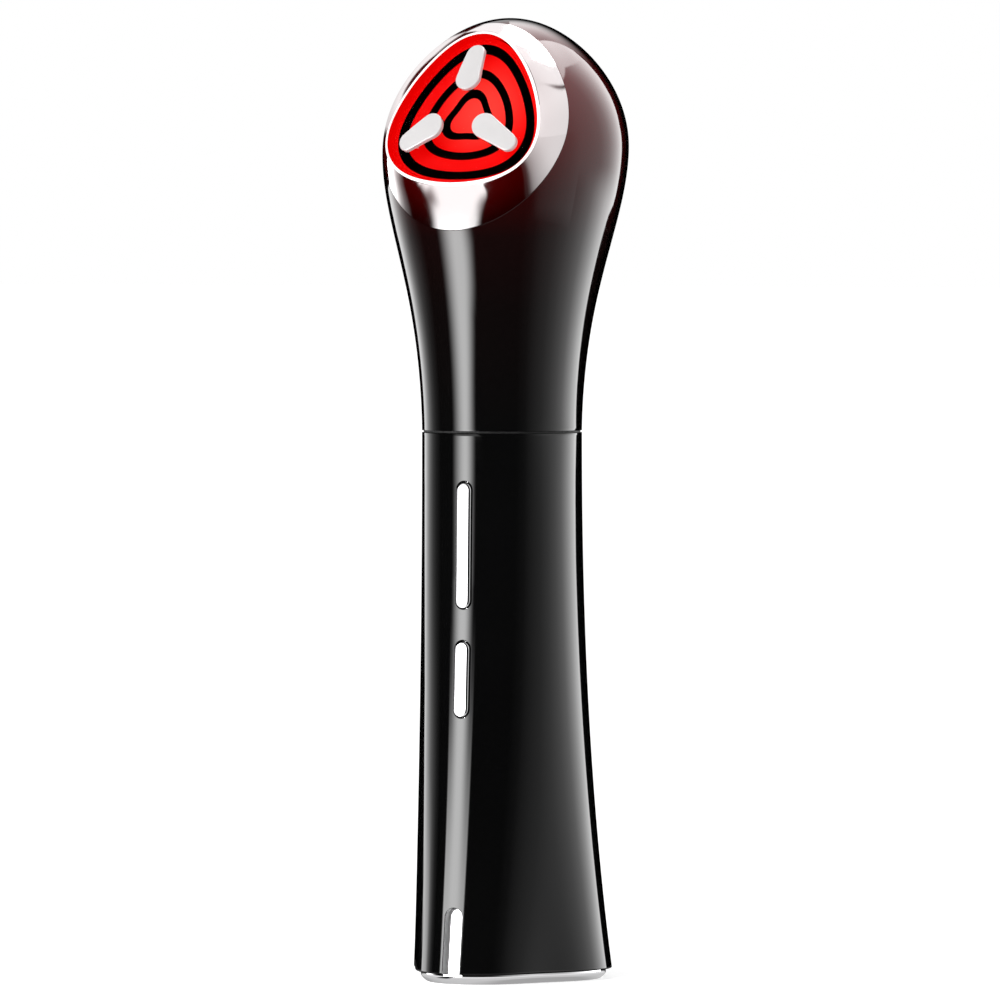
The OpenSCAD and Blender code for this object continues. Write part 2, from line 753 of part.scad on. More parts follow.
module head_shell() {
    color("#2b1014") difference() {
        head_body(0, head_bottom_z);
        head_body(head_wall, head_bottom_z - 1);
        on_face() loft([round_ring(cut_start_r, -ring_rise), round_ring(cut_flat_r),
            edge_ring(skirt_in), edge_ring(0),
            round_ring(cut_out_r), round_ring(cut_out_r, cut_out_r)]);
    }
}

module neck_gasket() {
    set_back = 0.35;
    color("#050506") translate([0, 0, handle_top_z]) difference() {
        cylinder(h = seam_gap, r = neck_r - set_back, $fn = 96);
        translate([0, 0, -1]) cylinder(h = seam_gap + 2, r = collar_r + fit, $fn = 96);
    }
}

// The cut for the face in the head shell: a bowed floor, then everything in front of it
cut_start_r = 1;
cut_flat_r = 8;
cut_out_r = 50;

// Levels of the face, below the rim
lens_ledge = 0.05;
chamber_inset = 0.1;
panel_z = -panel_drop;
panel_back_z = panel_z - panel_t;
board_z = panel_back_z - reflector_h;
board_back_z = board_z - board_t;
frame_t = 2;
frame_back_z = board_back_z - frame_t;
light_inset = face_r * 0.11;
skirt_in = head_wall + fit;
skirt_z = -ring_rise - edge_bow - skirt_h;
// The skirt clears the head's inner wall both at the edge and at its own lower end
function skirt_ring(h, wall = 0) =
    [for (i = [0:sides - 1])
        let (
            a = i * 360 / sides,
            r = min(edge_r(a, edge_z(a), skirt_in), edge_r(a, skirt_z, skirt_in)) - wall)
        [r * sin(a), -r * cos(a), h]];
ring_gap = 0.08;
boss_r = 1.8;
boss_at = face_r - boss_r / 2;
frame_r = boss_at + boss_r + 0.3;
thirds = [0, 120, 240];
pad_inner_at = face_r * pad_inner_share;
pad_outer_at = face_r * pad_outer_share;
stem_at = pad_outer_at - 0.7;
pin_rise = 0.7;
stem_end_z = panel_back_z - pin_rise;
face_bite = 4;
module at_bosses() {
    for (a = thirds) rotate([0, 0, a]) translate([0, -boss_at, 0]) children();
}

// Plated band from the head's cut up to the rim, with a skirt inside the head shell
module face_ring() {
    band_levels = 5;
    color("#d9d9dc") on_face() difference() {
        union() {
            difference() {
                loft(concat(
                    [skirt_ring(skirt_z), edge_ring(skirt_in, ring_gap)],
                    [for (i = [0:band_levels]) band_ring(i / band_levels)]));
                loft([skirt_ring(skirt_z - 1, skirt_t), skirt_ring(panel_back_z + 0.05, skirt_t)]);
            }
            intersection() {
                translate([0, 0, board_back_z]) at_bosses()
                    cylinder(h = panel_back_z - board_back_z + 0.2, r = boss_r, $fn = 32);
                loft([skirt_ring(board_back_z - 1), skirt_ring(0)]);
            }
        }
        loft([rim_ring(panel_back_z, chamber_inset), rim_ring(-lip_t, chamber_inset),
            rim_ring(-lip_t, lip_w), rim_ring(1, lip_w)]);
        translate([0, 0, board_back_z - 1]) at_bosses()
            cylinder(h = face_bite + 2, r = screw_r + run_fit, $fn = 32);
    }
}

// One level of the band, from the head's edge at 0 to the rim at 1
function band_ring(u) =
    [for (i = [0:sides - 1])
        let (a = i * 360 / sides,
            r = edge_r(a, edge_z(a), 0) * (1 - u) + rim_r(a) * u)
        [r * sin(a), -r * cos(a),
            (edge_z(a) + ring_gap) * (1 - u) + ring_swell * sin(180 * u)]];

// Dome over the rim: height falls with the square of the share of the way out
dome_inset = lip_w + 0.1;
dome_levels = 6;
function dome_ring(share, h0, h1, inset) =
    [for (p = rim_ring(0, inset)) [p[0] * share, p[1] * share, h0 + (h1 - h0) * share * share]];
function dome_rings(h0, h1, inset) =
    [for (i = [dome_levels:-1:0]) dome_ring(max(0.01, i / dome_levels), h0, h1, inset)];

module face_lens() {
    flange_inset = chamber_inset + 0.1;
    cavity_inset = dome_inset + lens_t - 0.2;
    cavity_edge = -0.8;
    flange_z = -lip_t - lens_ledge;
    color([1, 0.9, 0.9, 0.35]) on_face() difference() {
        loft(concat(
            [rim_ring(panel_z, flange_inset), rim_ring(flange_z, flange_inset),
                rim_ring(flange_z, dome_inset)],
            dome_rings(dome_h, 0, dome_inset)));
        loft(concat(
            [rim_ring(panel_z - 1, cavity_inset)],
            dome_rings(dome_h - lens_t, cavity_edge, cavity_inset)));
        for (a = thirds) rotate([0, 0, a]) translate([0, 0, -1])
            linear_extrude(dome_h + 2) pad_plan(run_fit);
    }
}

// Tapered bar with round ends, reaching outwards along +Y
module pad_plan(grow = 0) {
    tilt = asin((pad_inner_r - pad_outer_r) / (pad_outer_at - pad_inner_at));
    steps = 12;
    polygon(concat(
        [for (i = [0:steps]) let (a = tilt + (180 - 2 * tilt) * i / steps)
            [(pad_outer_r + grow) * cos(a), pad_outer_at + (pad_outer_r + grow) * sin(a)]],
        [for (i = [0:steps]) let (a = 180 - tilt + (180 + 2 * tilt) * i / steps)
            [(pad_inner_r + grow) * cos(a), pad_inner_at + (pad_inner_r + grow) * sin(a)]]));
}

// Height of the dome over a point of the rim plane
function dome_z(x, y) =
    let (share = norm([x, y]) / rim_r(atan2(x, -y), dome_inset)) dome_h * (1 - share * share);

// Slab of even depth under the dome, as large as one electrode
module dome_slab(top, under) {
    nx = 6;
    ny = 12;
    half_w = max(pad_inner_r, pad_outer_r) + 0.3;
    y0 = pad_inner_at - pad_inner_r - 0.3;
    y1 = pad_outer_at + pad_outer_r + 0.3;
    count = (nx + 1) * (ny + 1);
    function at(i, j) = j * (nx + 1) + i;
    function grid(lift) = [for (j = [0:ny]) for (i = [0:nx])
        let (x = half_w * (2 * i / nx - 1), y = y0 + (y1 - y0) * j / ny)
            [x, y, dome_z(x, y) + lift]];
    rim = concat([for (i = [0:nx - 1]) at(i, 0)], [for (j = [0:ny - 1]) at(nx, j)],
        [for (i = [nx:-1:1]) at(i, ny)], [for (j = [ny:-1:1]) at(0, j)]);
    n = len(rim);
    polyhedron(points = concat(grid(top), grid(-under)), faces = concat(
        [for (j = [0:ny - 1]) for (i = [0:nx - 1]) each [
            [at(i, j), at(i, j + 1), at(i + 1, j + 1)], [at(i, j), at(i + 1, j + 1), at(i + 1, j)],
            [count + at(i, j), count + at(i + 1, j + 1), count + at(i, j + 1)],
            [count + at(i, j), count + at(i + 1, j), count + at(i + 1, j + 1)]]],
        [for (k = [0:n - 1]) each [
            [rim[k], rim[(k + 1) % n], count + rim[(k + 1) % n]],
            [rim[k], count + rim[(k + 1) % n], count + rim[k]]]]));
}

// Curved plate that follows the dome, with a stem down to its contact pin
module electrode(a) {
    color("#d4d4d6") on_face() rotate([0, 0, a]) {
        intersection() {
            translate([0, 0, -2]) linear_extrude(dome_h + 4) pad_plan();
            dome_slab(pad_proud, pad_depth);
        }
        translate([0, stem_at, stem_end_z])
            cylinder(h = dome_z(0, stem_at) - pad_depth / 2 - stem_end_z, r = stem_r, $fn = 32);
    }
}

module top_electrode() {
    electrode(0);
}

module left_electrode() {
    electrode(120);
}

module right_electrode() {
    electrode(240);
}

module at_stems(h) {
    for (a = thirds) rotate([0, 0, a]) translate([0, stem_at, h]) children();
}

module light_panel() {
    color("#e01010") on_face() difference() {
        translate([0, 0, panel_back_z]) linear_extrude(panel_t) rim_plan(dome_inset);
        at_stems(panel_back_z - 1) cylinder(h = panel_t + 2, r = stem_r + close_fit, $fn = 32);
    }
}

module contour_lines() {
    edges = [outer_contour, middle_contour, inner_contour];
    color("#050505") on_face(panel_z) linear_extrude(contour_h) for (i = [0:2])
        difference() {
            rim_plan(0, face_r * edges[i][1], contour_corner[i]);
            rim_plan(0, face_r * edges[i][0], contour_corner[i]);
        }
}

module reflector() {
    color("#f0f0ee") on_face(board_z) linear_extrude(reflector_h) difference() {
        rim_plan(light_inset);
        rim_plan(light_inset + reflector_wall);
    }
}

module light_board() {
    color("#e8e8e4") on_face(board_back_z) linear_extrude(board_t) rim_plan(light_inset);
}

// One chip in the middle, six round it and twelve in the outer ring, clear of the contact pins
module light_chips() {
    counts = [6, 12];
    turns = [0, 15];
    color("#ff5a3c") on_face(board_z + chip_h / 2) {
        for (k = [0:1]) for (i = [0:counts[k] - 1])
            rotate([0, 0, turns[k] + i * 360 / counts[k]])
                translate([0, face_r * chip_rings[k], 0])
                    cube([chip_side, chip_side, chip_h], center = true);
        cube([chip_side, chip_side, chip_h], center = true);
    }
}

module contact_pins() {
    color("#d8b25a") on_face() at_stems(board_z)
        cylinder(h = stem_end_z - board_z, r = stem_r - 0.3, $fn = 32);
}

// Neck: levels of the collar's floor, the frame's column and the motor
cable_front_y = board_front_y + (board_t - cable_t) / 2;
column_back_y = cable_front_y - 0.1;
column_t = 3.9;
column_half_w = 6;
collar_floor_t = 2;
frame_z = seam_z + collar_up - 4;
neck_bite = 5;
neck_screw_at = [for (s = [-screw_x, screw_x]) [s, column_back_y - column_t / 2]];
bracket_t = 1.5;
bracket_h = 8;
motor_y = cable_front_y + cable_t + 0.2 + bracket_t + sleeve_t + motor_r;
motor_z = frame_z + 4;
weight_gap = 2;

// Plate behind the light board, on a column that stands on the neck collar
module head_frame() {
    cable_slot = cable_w + 0.8;
    bracket_z = motor_z + (motor_h - bracket_h) / 2;
    color("#5a5c62") difference() {
        union() {
            on_face(frame_back_z) cylinder(h = frame_t, r = frame_r, $fn = 96);
            difference() {
                translate([-column_half_w, column_back_y - column_t, frame_z])
                    cube([2 * column_half_w, column_t, total_h - frame_z]);
                on_face(frame_back_z + frame_t / 2) translate([-big / 2, -big / 2, 0])
                    cube(big);
            }
            translate([0, motor_y, bracket_z])
                cylinder(h = bracket_h, r = motor_r + sleeve_t + bracket_t, $fn = 64);
            for (s = [-1, 1])
                translate([s * (cable_slot / 2 + column_half_w) / 2, column_back_y, bracket_z])
                    translate([-(column_half_w - cable_slot / 2) / 2, -0.5, 0])
                        cube([column_half_w - cable_slot / 2, 3.5, bracket_h]);
        }
        translate([0, motor_y, bracket_z - 1])
            cylinder(h = bracket_h + 2, r = motor_r + sleeve_t + run_fit, $fn = 64);
        on_face(frame_back_z - 1) at_bosses()
            cylinder(h = frame_t + 2, r = screw_r + close_fit, $fn = 32);
        on_face(frame_back_z - 8) at_bosses() cylinder(h = 8, r = screw_head_r + fit, $fn = 32);
        translate([-cable_slot / 2, column_back_y, bracket_z + bracket_h])
            cube([cable_slot, cable_t + 0.4, big]);
        for (p = neck_screw_at) translate([p[0], p[1], frame_z - 1])
            cylinder(h = neck_bite + 2, r = screw_r + run_fit, $fn = 32);
    }
}

module face_screws() {
    color("#b8babf") on_face(frame_back_z) at_bosses() screw(frame_t + face_bite);
}

module neck_collar() {
    color("#4a4c52") difference() {
        translate([0, 0, chassis_z1]) cylinder(h = seam_z + collar_up - chassis_z1,
            r = collar_r, $fn = 96);
        translate([0, 0, chassis_z1 - 1])
            cylinder(h = frame_z - collar_floor_t - chassis_z1 + 1, r = collar_r - collar_t,
                $fn = 96);
        translate([0, 0, frame_z]) cylinder(h = collar_up, r = collar_r - collar_t, $fn = 96);
        translate([-cable_w / 2 - 0.4, cable_front_y - 0.4, frame_z - collar_floor_t - 1])
            cube([cable_w + 0.8, cable_t + 0.8, collar_floor_t + 2]);
        for (p = neck_screw_at) translate([p[0], p[1], frame_z - collar_floor_t - 1])
            cylinder(h = collar_floor_t + 2, r = screw_r + close_fit, $fn = 32);
    }
}

module neck_screws() {
    color("#b8babf") for (p = neck_screw_at)
        translate([p[0], p[1], frame_z - collar_floor_t]) screw(collar_floor_t + neck_bite);
}

module flat_cable() {
    color("#b06a2c") difference() {
        translate([-cable_w / 2, cable_front_y, board_z1])
            cube([cable_w, cable_t, total_h - board_z1]);
        on_face(board_back_z) translate([-big / 2, -big / 2, 0]) cube(big);
    }
}

module motor() {
    bearing_h = 3;
    color("#a8aab0") translate([0, motor_y, motor_z]) difference() {
        cylinder(h = motor_h, r = motor_r, $fn = 64);
        translate([0, 0, motor_h - bearing_h])
            cylinder(h = bearing_h + 1, r = shaft_r + run_fit, $fn = 32);
    }
}

module motor_sleeve() {
    color("#1a1a1c") translate([0, motor_y, motor_z + (motor_h - bracket_h) / 2 - 1])
        difference() {
            cylinder(h = bracket_h + 2, r = motor_r + sleeve_t, $fn = 64);
            translate([0, 0, -1]) cylinder(h = bracket_h + 4, r = motor_r + run_fit, $fn = 64);
        }
}

module motor_shaft() {
    in_motor = 2.7;
    color("#c9cacd") translate([0, motor_y, motor_z + motor_h - in_motor])
        cylinder(h = in_motor + weight_gap + weight_h + 0.5, r = shaft_r, $fn = 32);
}

module eccentric_weight() {
    color("#8d8f94") translate([0, motor_y, motor_z + motor_h + weight_gap]) difference() {
        union() {
            intersection() {
                cylinder(h = weight_h, r = weight_r, $fn = 64);
                translate([-big / 2, 0, -1]) cube(big);
            }
            cylinder(h = weight_h, r = shaft_r + 1, $fn = 32);
        }
        translate([0, 0, -1]) cylinder(h = weight_h + 2, r = shaft_r + 0.02, $fn = 32);
    }
}

handle_shell();
head_shell();
neck_gasket();
face_ring();
face_lens();
top_electrode();
left_electrode();
right_electrode();
light_panel();
contour_lines();
reflector();
light_board();
light_chips();
contact_pins();
head_frame();
face_screws();
motor();
motor_shaft();
eccentric_weight();
motor_sleeve();
neck_collar();
neck_screws();
flat_cable();
chassis();
main_board();
board_parts();
pulse_coil();
battery();
long_button();
short_button();
button_guide();
switch_bodies();
long_plunger();
short_plunger();
board_screws();
foot_carrier();
foot_screws();
foot_plate();
front_inlay();
charge_contacts();
charge_board();
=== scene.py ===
"""Looks of the facial toning wand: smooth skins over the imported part, finishes, camera and light."""

import json
import math

import bmesh
import bpy
import numpy as np
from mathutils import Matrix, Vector


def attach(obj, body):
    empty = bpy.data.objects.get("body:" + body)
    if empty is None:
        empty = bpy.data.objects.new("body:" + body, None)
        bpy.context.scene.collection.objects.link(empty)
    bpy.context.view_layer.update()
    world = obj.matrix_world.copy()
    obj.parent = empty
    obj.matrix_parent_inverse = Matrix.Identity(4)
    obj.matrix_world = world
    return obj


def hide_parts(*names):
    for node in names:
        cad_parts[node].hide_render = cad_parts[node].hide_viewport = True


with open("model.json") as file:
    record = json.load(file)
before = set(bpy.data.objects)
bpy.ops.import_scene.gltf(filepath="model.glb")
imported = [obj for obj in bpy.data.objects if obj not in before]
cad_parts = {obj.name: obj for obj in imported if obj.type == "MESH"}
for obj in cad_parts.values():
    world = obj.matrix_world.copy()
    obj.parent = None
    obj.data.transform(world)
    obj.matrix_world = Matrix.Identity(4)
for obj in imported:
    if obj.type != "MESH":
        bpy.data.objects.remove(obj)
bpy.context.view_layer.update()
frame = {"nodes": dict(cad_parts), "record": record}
nodes = frame["nodes"]

# Sizes of the whole, in millimetres, and the number of points once round
MM = 0.001
AROUND = 256
TOTAL_H = 200.0
SEAM_Z = 114.0
SEAM_GAP = 0.4
SEAM_EDGE = 0.12

# Sizes of the handle
NECK_R = 16.65
FOOT_R = 20.75
FOOT_CORNER = 0.12
FLARE_POWER = 2.15
HANDLE_WALL = 1.8
FOOT_Z = 2.1
FOOT_EDGE = 0.3
EDGE_ROOM = 0.6  # from a shell's end to the even rows beyond its eased edge

# Sizes of the keys, with their pegs and their slots, which are given by the heights of their ends
LONG_SLOT = (77.45, 103.95)
SHORT_SLOT = (54.95, 71.05)
SLOT_W = 3.75
SLOT_CLEAR = 0.2
SLOT_WALL = 1.4
SLOT_EDGE = 0.12
BUTTON_PROUD = 0.5
BUTTON_EDGE = 0.45
FLANGE_LIP = 0.9
FLANGE_T = 0.8
PEG_R = 1.4
PEG_EDGE = 0.15
PEG_PITCH = 8.0
PEG_END_Y = -10.3  # where the pegs end, close to the switches

# Sizes of the bright strip and the foot plate
INLAY_TOP = 15.75
INLAY_W = 3.8
INLAY_T = 0.75
INLAY_CLEAR = 0.08
PLATE_INSET = 1.3
PLATE_EDGE = 1.1
PLATE_POWER = 1.4
PLATE_TOP_EDGE = 0.12
CONTACT_R = 2.05
CONTACT_PITCH = 9.0

# Sizes of the head
HEAD_R = 25.66
CAP_H = 27.43
CAP_TRIM = 0.107
SWELL_POWER = 1.62
SWELL_BLEND = 0.54
CROWN_LEAN = 3.64
LEAN_POWER = 2.1
HEAD_WALL = 2.0
WIDE_Z = TOTAL_H - CAP_H

# Sizes of the face and its ring; the face's frame is x across, y up along it and h out of it
FACE_TILT = math.radians(24.35)
FACE_AT = np.array([0.0, -HEAD_R * 0.621, TOTAL_H - CAP_H * 0.7386])
FACE_X = np.array([1.0, 0.0, 0.0])
FACE_Y = np.array([0.0, math.sin(FACE_TILT), math.cos(FACE_TILT)])
FACE_OUT = np.array([0.0, -math.cos(FACE_TILT), math.sin(FACE_TILT)])
FACE_R = HEAD_R * 0.67
FACE_CORNER = 0.088
FACE_TIGHT = 0.009
RING_RISE = HEAD_R * 0.1543
EDGE_BOW = HEAD_R * 0.0502
EDGE_LEAN = HEAD_R * 0.0218
EDGE_WAVE = HEAD_R * 0.0139
RING_SWELL = 0.15
RING_GAP = 0.08
SHOULDER = 0.955  # share of the way from edge to rim where the lip's rounding starts
LIP_W = 0.4
LIP_T = 0.5
LIP_RISE = 0.06
SKIRT_IN = 2.25
SKIRT_H = 2.2
SKIRT_T = 1.2

# Sizes of the lens, the lit panel with its dark lines, and the electrodes
DOME_H = 2.9
DOME_INSET = LIP_W + 0.1
LENS_T = 1.1
LENS_CLEAR = 0.05
LENS_SIDE = 0.2
HOLLOW_LOW = -0.8  # height of the lens's hollow at its side
PANEL_Z = -2.1
PANEL_T = 1.2
PANEL_BACK = PANEL_Z - PANEL_T
CONTOUR_H = 0.3
# Inner and outer radius of each line as shares of the face's, and how far its corners are drawn out
CONTOURS = ((0.774, 0.886, 0.095), (0.492, 0.592, 0.085), (0.23, 0.325, 0.16))
PAD_INNER_AT = FACE_R * 0.4186
PAD_INNER_R = 2.7
PAD_OUTER_AT = FACE_R * 0.779
PAD_OUTER_R = 2.0
PAD_PROUD = 0.25
PAD_DEPTH = 0.9
PAD_EDGE = 0.28
PAD_CLEAR = 0.04
STEM_INSET = 0.7
STEM_R = 1.1
PIN_R = 0.5
THIRD = 2 * math.pi / 3


# Forms
def turn(n=AROUND):
    """n angles once round, in radians, counted from the front."""
    return np.arange(n) * 2 * np.pi / n


def level_ring(a, r, z, back=0.0):
    """Points at a height, at a distance r from the upright axis, moved back."""
    return np.stack(np.broadcast_arrays(r * np.sin(a), back - r * np.cos(a), z), -1)


def handle_skin(a, z, inset=0.0):
    """Barrel: the flare is 1 - z / seam to a power, and with it the radius goes from the neck's to the foot's
    and its third harmonic grows."""
    flare = np.maximum(0.0, 1 - z / SEAM_Z) ** FLARE_POWER
    r = (NECK_R + (FOOT_R - NECK_R) * flare) * (1 + FOOT_CORNER * flare * np.cos(3 * a)) - inset
    return level_ring(a, r, z)


def head_slice(z):
    """Radius and backward shift of the head's level slice: a cosine swell up to the widest level,
    then half an ellipse that is trimmed towards the crown."""
    u = np.clip((z - SEAM_Z) / (WIDE_Z - SEAM_Z), 0, 1) ** SWELL_POWER
    swell = (1 - SWELL_BLEND) * (1 - np.cos(np.pi * u)) / 2 + SWELL_BLEND * np.sin(np.pi * u / 2)
    neck = NECK_R + (HEAD_R - NECK_R) * swell
    s = np.clip((z - WIDE_Z) / CAP_H, 0, 1)
    cap = HEAD_R * np.sqrt(1 - s * s) * (1 - CAP_TRIM * s * s)
    shift = CROWN_LEAN * np.clip((z - SEAM_Z) / (TOTAL_H - SEAM_Z), 0, 1) ** LEAN_POWER
    return np.where(z > WIDE_Z, cap, neck), shift


def head_skin(a, z, inset=0.0):
    """Head: the level slice turned round its own centre, and drawn in by an inset."""
    r, shift = head_slice(z)
    return level_ring(a, np.maximum(r - inset, 0.0), z, shift)


def head_lining(a, z):
    """Inner wall of the head: the slice less the wall, and under the crown a smaller copy of the cap."""
    above = z > WIDE_Z
    r, _ = head_slice(WIDE_Z + (z - WIDE_Z) * CAP_H / (CAP_H - HEAD_WALL) if above else z)
    _, shift = head_slice(z)
    return level_ring(a, r * (1 - HEAD_WALL / HEAD_R) if above else r - HEAD_WALL, z, shift)


def on_face(x, y, h):
    """Point of the face's own frame: its middle plus x, y and h times the three directions."""
    x, y, h = np.broadcast_arrays(x, y, h)
    return FACE_AT + x[..., None] * FACE_X + y[..., None] * FACE_Y + h[..., None] * FACE_OUT


def round_face(a, r, h):
    """Point at a distance r from the face's axis, at an angle counted from the face's lower end."""
    return on_face(r * np.sin(a), -r * np.cos(a), h)


def spun(x, y, angle):
    """Point of the face turned round its axis."""
    return x * math.cos(angle) - y * math.sin(angle), x * math.sin(angle) + y * math.cos(angle)


def corner_r(a, r, corner):
    """Rounded triangle with a corner up: a circle with a third and a small sixth harmonic."""
    return r * (1 - corner * np.cos(3 * a) + FACE_TIGHT * np.cos(6 * a))


def rim_r(a, inset=0.0):
    """Rim of the face: the rounded triangle, drawn in by an inset."""
    return corner_r(a, FACE_R, FACE_CORNER) - inset


def edge_z(a):
    """Depth of the head's edge round the face, deepest low at the sides."""
    return -RING_RISE - EDGE_BOW * np.sin(a) ** 2 - EDGE_LEAN * np.cos(a) + EDGE_WAVE * np.cos(3 * a)


def edge_r(a, inset=0.0):
    """Distance from the face's axis to the head's surface at the edge's depth, halved in on 40 times."""
    low, high = np.zeros_like(a), np.full_like(a, 2 * HEAD_R)
    for _ in range(40):
        mid = (low + high) / 2
        x, y, z = np.moveaxis(round_face(a, mid, edge_z(a)), -1, 0)
        r, shift = head_slice(z)
        inside = (x ** 2 + (y - shift) ** 2 < np.maximum(r - inset, 0) ** 2) & (z < TOTAL_H - inset)
        low, high = np.where(inside, mid, low), np.where(inside, high, mid)
    return (low + high) / 2


def dome_h(x, y):
    """Dome of the face: its height falls with the square of the share of the way to the rim."""
    share = np.hypot(x, y) / rim_r(np.arctan2(x, -y), DOME_INSET)
    return DOME_H * (1 - share ** 2)


def stadium(c0, r0, c1, r1):
    """Outline of a tapered bar with round ends along y: for each point its centre on the middle line,
    its direction from there and its radius."""
    steps, side_steps = 20, 24
    tilt = math.asin((r0 - r1) / (c1 - c0))
    up = np.linspace(tilt, np.pi - tilt, steps + 1)
    down = np.linspace(np.pi - tilt, 2 * np.pi + tilt, steps + 1)
    side = np.linspace(0, 1, side_steps + 1)[1:-1]
    angle = np.concatenate([up, np.full(len(side), up[-1]), down, np.full(len(side), tilt)])
    share = np.concatenate([np.ones(len(up)), 1 - side, np.zeros(len(down)), side])
    return c0 + (c1 - c0) * share, np.stack([np.cos(angle), np.sin(angle)], -1), r0 + (r1 - r0) * share


def reached(middle, ray, reach):
    """x and y of an outline's points, so far out from its middle line along their directions."""
    return ray[:, 0] * reach, middle + ray[:, 1] * reach


def rounded(edge, n=6):
    """Quarter-round profile: how far in and how far down each of its steps is."""
    t = np.linspace(0, np.pi / 2, n + 1)
    return edge * (1 - np.sin(t)), edge * (1 - np.cos(t))


# Meshes
def grid(rows, loop=False):
    """Points and quads of a grid whose rows close round, and whose last row joins the first in a loop.
    The sign of the volume that they close says whether the quads are turned round to face outwards."""
    rows = np.asarray(rows, float)
    m, n = rows.shape[:2]
    i, j = np.meshgrid(np.arange(m if loop else m - 1), np.arange(n), indexing="ij")
    i2, j2 = (i + 1) % m, (j + 1) % n
    quads = np.stack([i * n + j, i2 * n + j, i2 * n + j2, i * n + j2], -1).reshape(-1, 4)
    points = rows.reshape(-1, 3)
    a, b, c, d = (points[quads[:, k]] for k in range(4))
    volume = np.einsum("ij,ij->i", a, np.cross(b, c) + np.cross(c, d)).sum()
    return points, quads if volume > 0 else quads[:, ::-1]


def linked(name, data):
    """Object of a mesh, a camera or a lamp, in the scene."""
    obj = bpy.data.objects.new(name, data)
    bpy.context.scene.collection.objects.link(obj)
    return obj


def smooth(mesh, sharp):
    """Smooth shading up to an angle between faces, in degrees."""
    mesh.polygons.foreach_set("use_smooth", np.ones(len(mesh.polygons), bool))
    mesh.set_sharp_from_angle(angle=math.radians(sharp))


def piece(name, shells, sharp=32.0):
    """One object from closed shells in millimetres, with its doubles merged."""
    points = np.concatenate([p for p, _ in shells]) * MM
    starts = np.cumsum([0] + [len(p) for p, _ in shells])
    quads = np.concatenate([q + s for (_, q), s in zip(shells, starts)])
    mesh = bpy.data.meshes.new(name)
    mesh.vertices.add(len(points))
    mesh.vertices.foreach_set("co", points.astype(np.float32).ravel())
    mesh.loops.add(quads.size)
    mesh.loops.foreach_set("vertex_index", quads.astype(np.int32).ravel())
    mesh.polygons.add(len(quads))
    mesh.polygons.foreach_set("loop_start", np.arange(0, quads.size, 4, dtype=np.int32))
    mesh.update(calc_edges=True)
    bm = bmesh.new()
    bm.from_mesh(mesh)
    bmesh.ops.remove_doubles(bm, verts=bm.verts, dist=2e-7)
    bmesh.ops.dissolve_degenerate(bm, edges=bm.edges, dist=1e-7)
    bm.to_mesh(mesh)
    bm.free()
    smooth(mesh, sharp)
    return linked(name, mesh)


def carve(obj, *cutters, sharp=32.0):
    """Takes the cutters' room out of a piece for good, then throws the cutters away."""
    for cutter in cutters:
        cut = obj.modifiers.new("cut", "BOOLEAN")
        cut.operation, cut.solver, cut.object = "DIFFERENCE", "EXACT", cutter
    bpy.context.view_layer.update()
    mesh = bpy.data.meshes.new_from_object(obj.evaluated_get(bpy.context.evaluated_depsgraph_get()))
    obj.modifiers.clear()
    obj.data = mesh
    smooth(mesh, sharp)
    for cutter in cutters:
        bpy.data.objects.remove(cutter)


def stand_for(obj, body, slot, *replaced):
    """The piece rides on a body and shows instead of CAD nodes; the slot is not used."""
    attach(obj, body)
    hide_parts(*replaced)
    return obj


# Handle
def slot_frame(z0, z1):
    """Middle, lean and length of a slot's own frame, which follows the front line between its ends."""
    y0, y1 = (handle_skin(0.0, z)[1] for z in (z0, z1))
    middle = np.array([0, (y0 + y1) / 2, (z0 + z1) / 2])
    return middle, math.atan2(y1 - y0, z1 - z0), math.hypot(z1 - z0, y1 - y0)


def in_slot(slot, x, depth, s):
    """Point of a slot's frame: x across, depth into the handle, s up along the slot."""
    middle, lean, _ = slot
    x, depth, s = np.broadcast_arrays(x, depth, s)
    y = depth * math.cos(lean) + s * math.sin(lean)
    z = s * math.cos(lean) - depth * math.sin(lean)
    return middle + np.stack([x, y, z], -1)


def slot_rows(slot, width, steps):
    """Rows of a bar with round ends in a slot's frame. A step says how far it grows beyond half the width,
    how deep it lies and, with 1, that it bends with the neck by x squared over twice the radius."""
    half = (slot[2] - SLOT_W) / 2
    middle, ray, r = stadium(-half, width / 2, half, width / 2)
    rows = []
    for grow, depth, bent in steps:
        x, s = reached(middle, ray, r + grow)
        rows.append(in_slot(slot, x, depth + bent * x * x / (2 * NECK_R), s))
    return rows


def slot_cutter(ends):
    """Room of a key: a bar with round ends, with a chamfer at its mouth, wider behind the wall."""
    room = FLANGE_LIP + 2 * SLOT_CLEAR
    before, behind, above = -3.0, 6.0, 0.5
    steps = [(-SLOT_W / 2, before, 0), (SLOT_EDGE + above, before, 0)]
    steps += [(SLOT_EDGE + above, -above, 1), (SLOT_EDGE, 0.0, 1), (0.0, SLOT_EDGE, 1)]
    steps += [(0.0, SLOT_WALL, 0), (room, SLOT_WALL, 0), (room, behind, 0), (-SLOT_W / 2, behind, 0)]
    return piece("slot_room", [grid(slot_rows(slot_frame(*ends), SLOT_W, steps))])


def on_front(x, z, depth):
    """Point of the barrel's surface near its front line, at the angle whose sine is x over the radius there,
    sunk by a depth."""
    r = -handle_skin(0.0, z)[..., 1]
    return handle_skin(np.arcsin(np.clip(x / r, -1, 1)), z, depth)


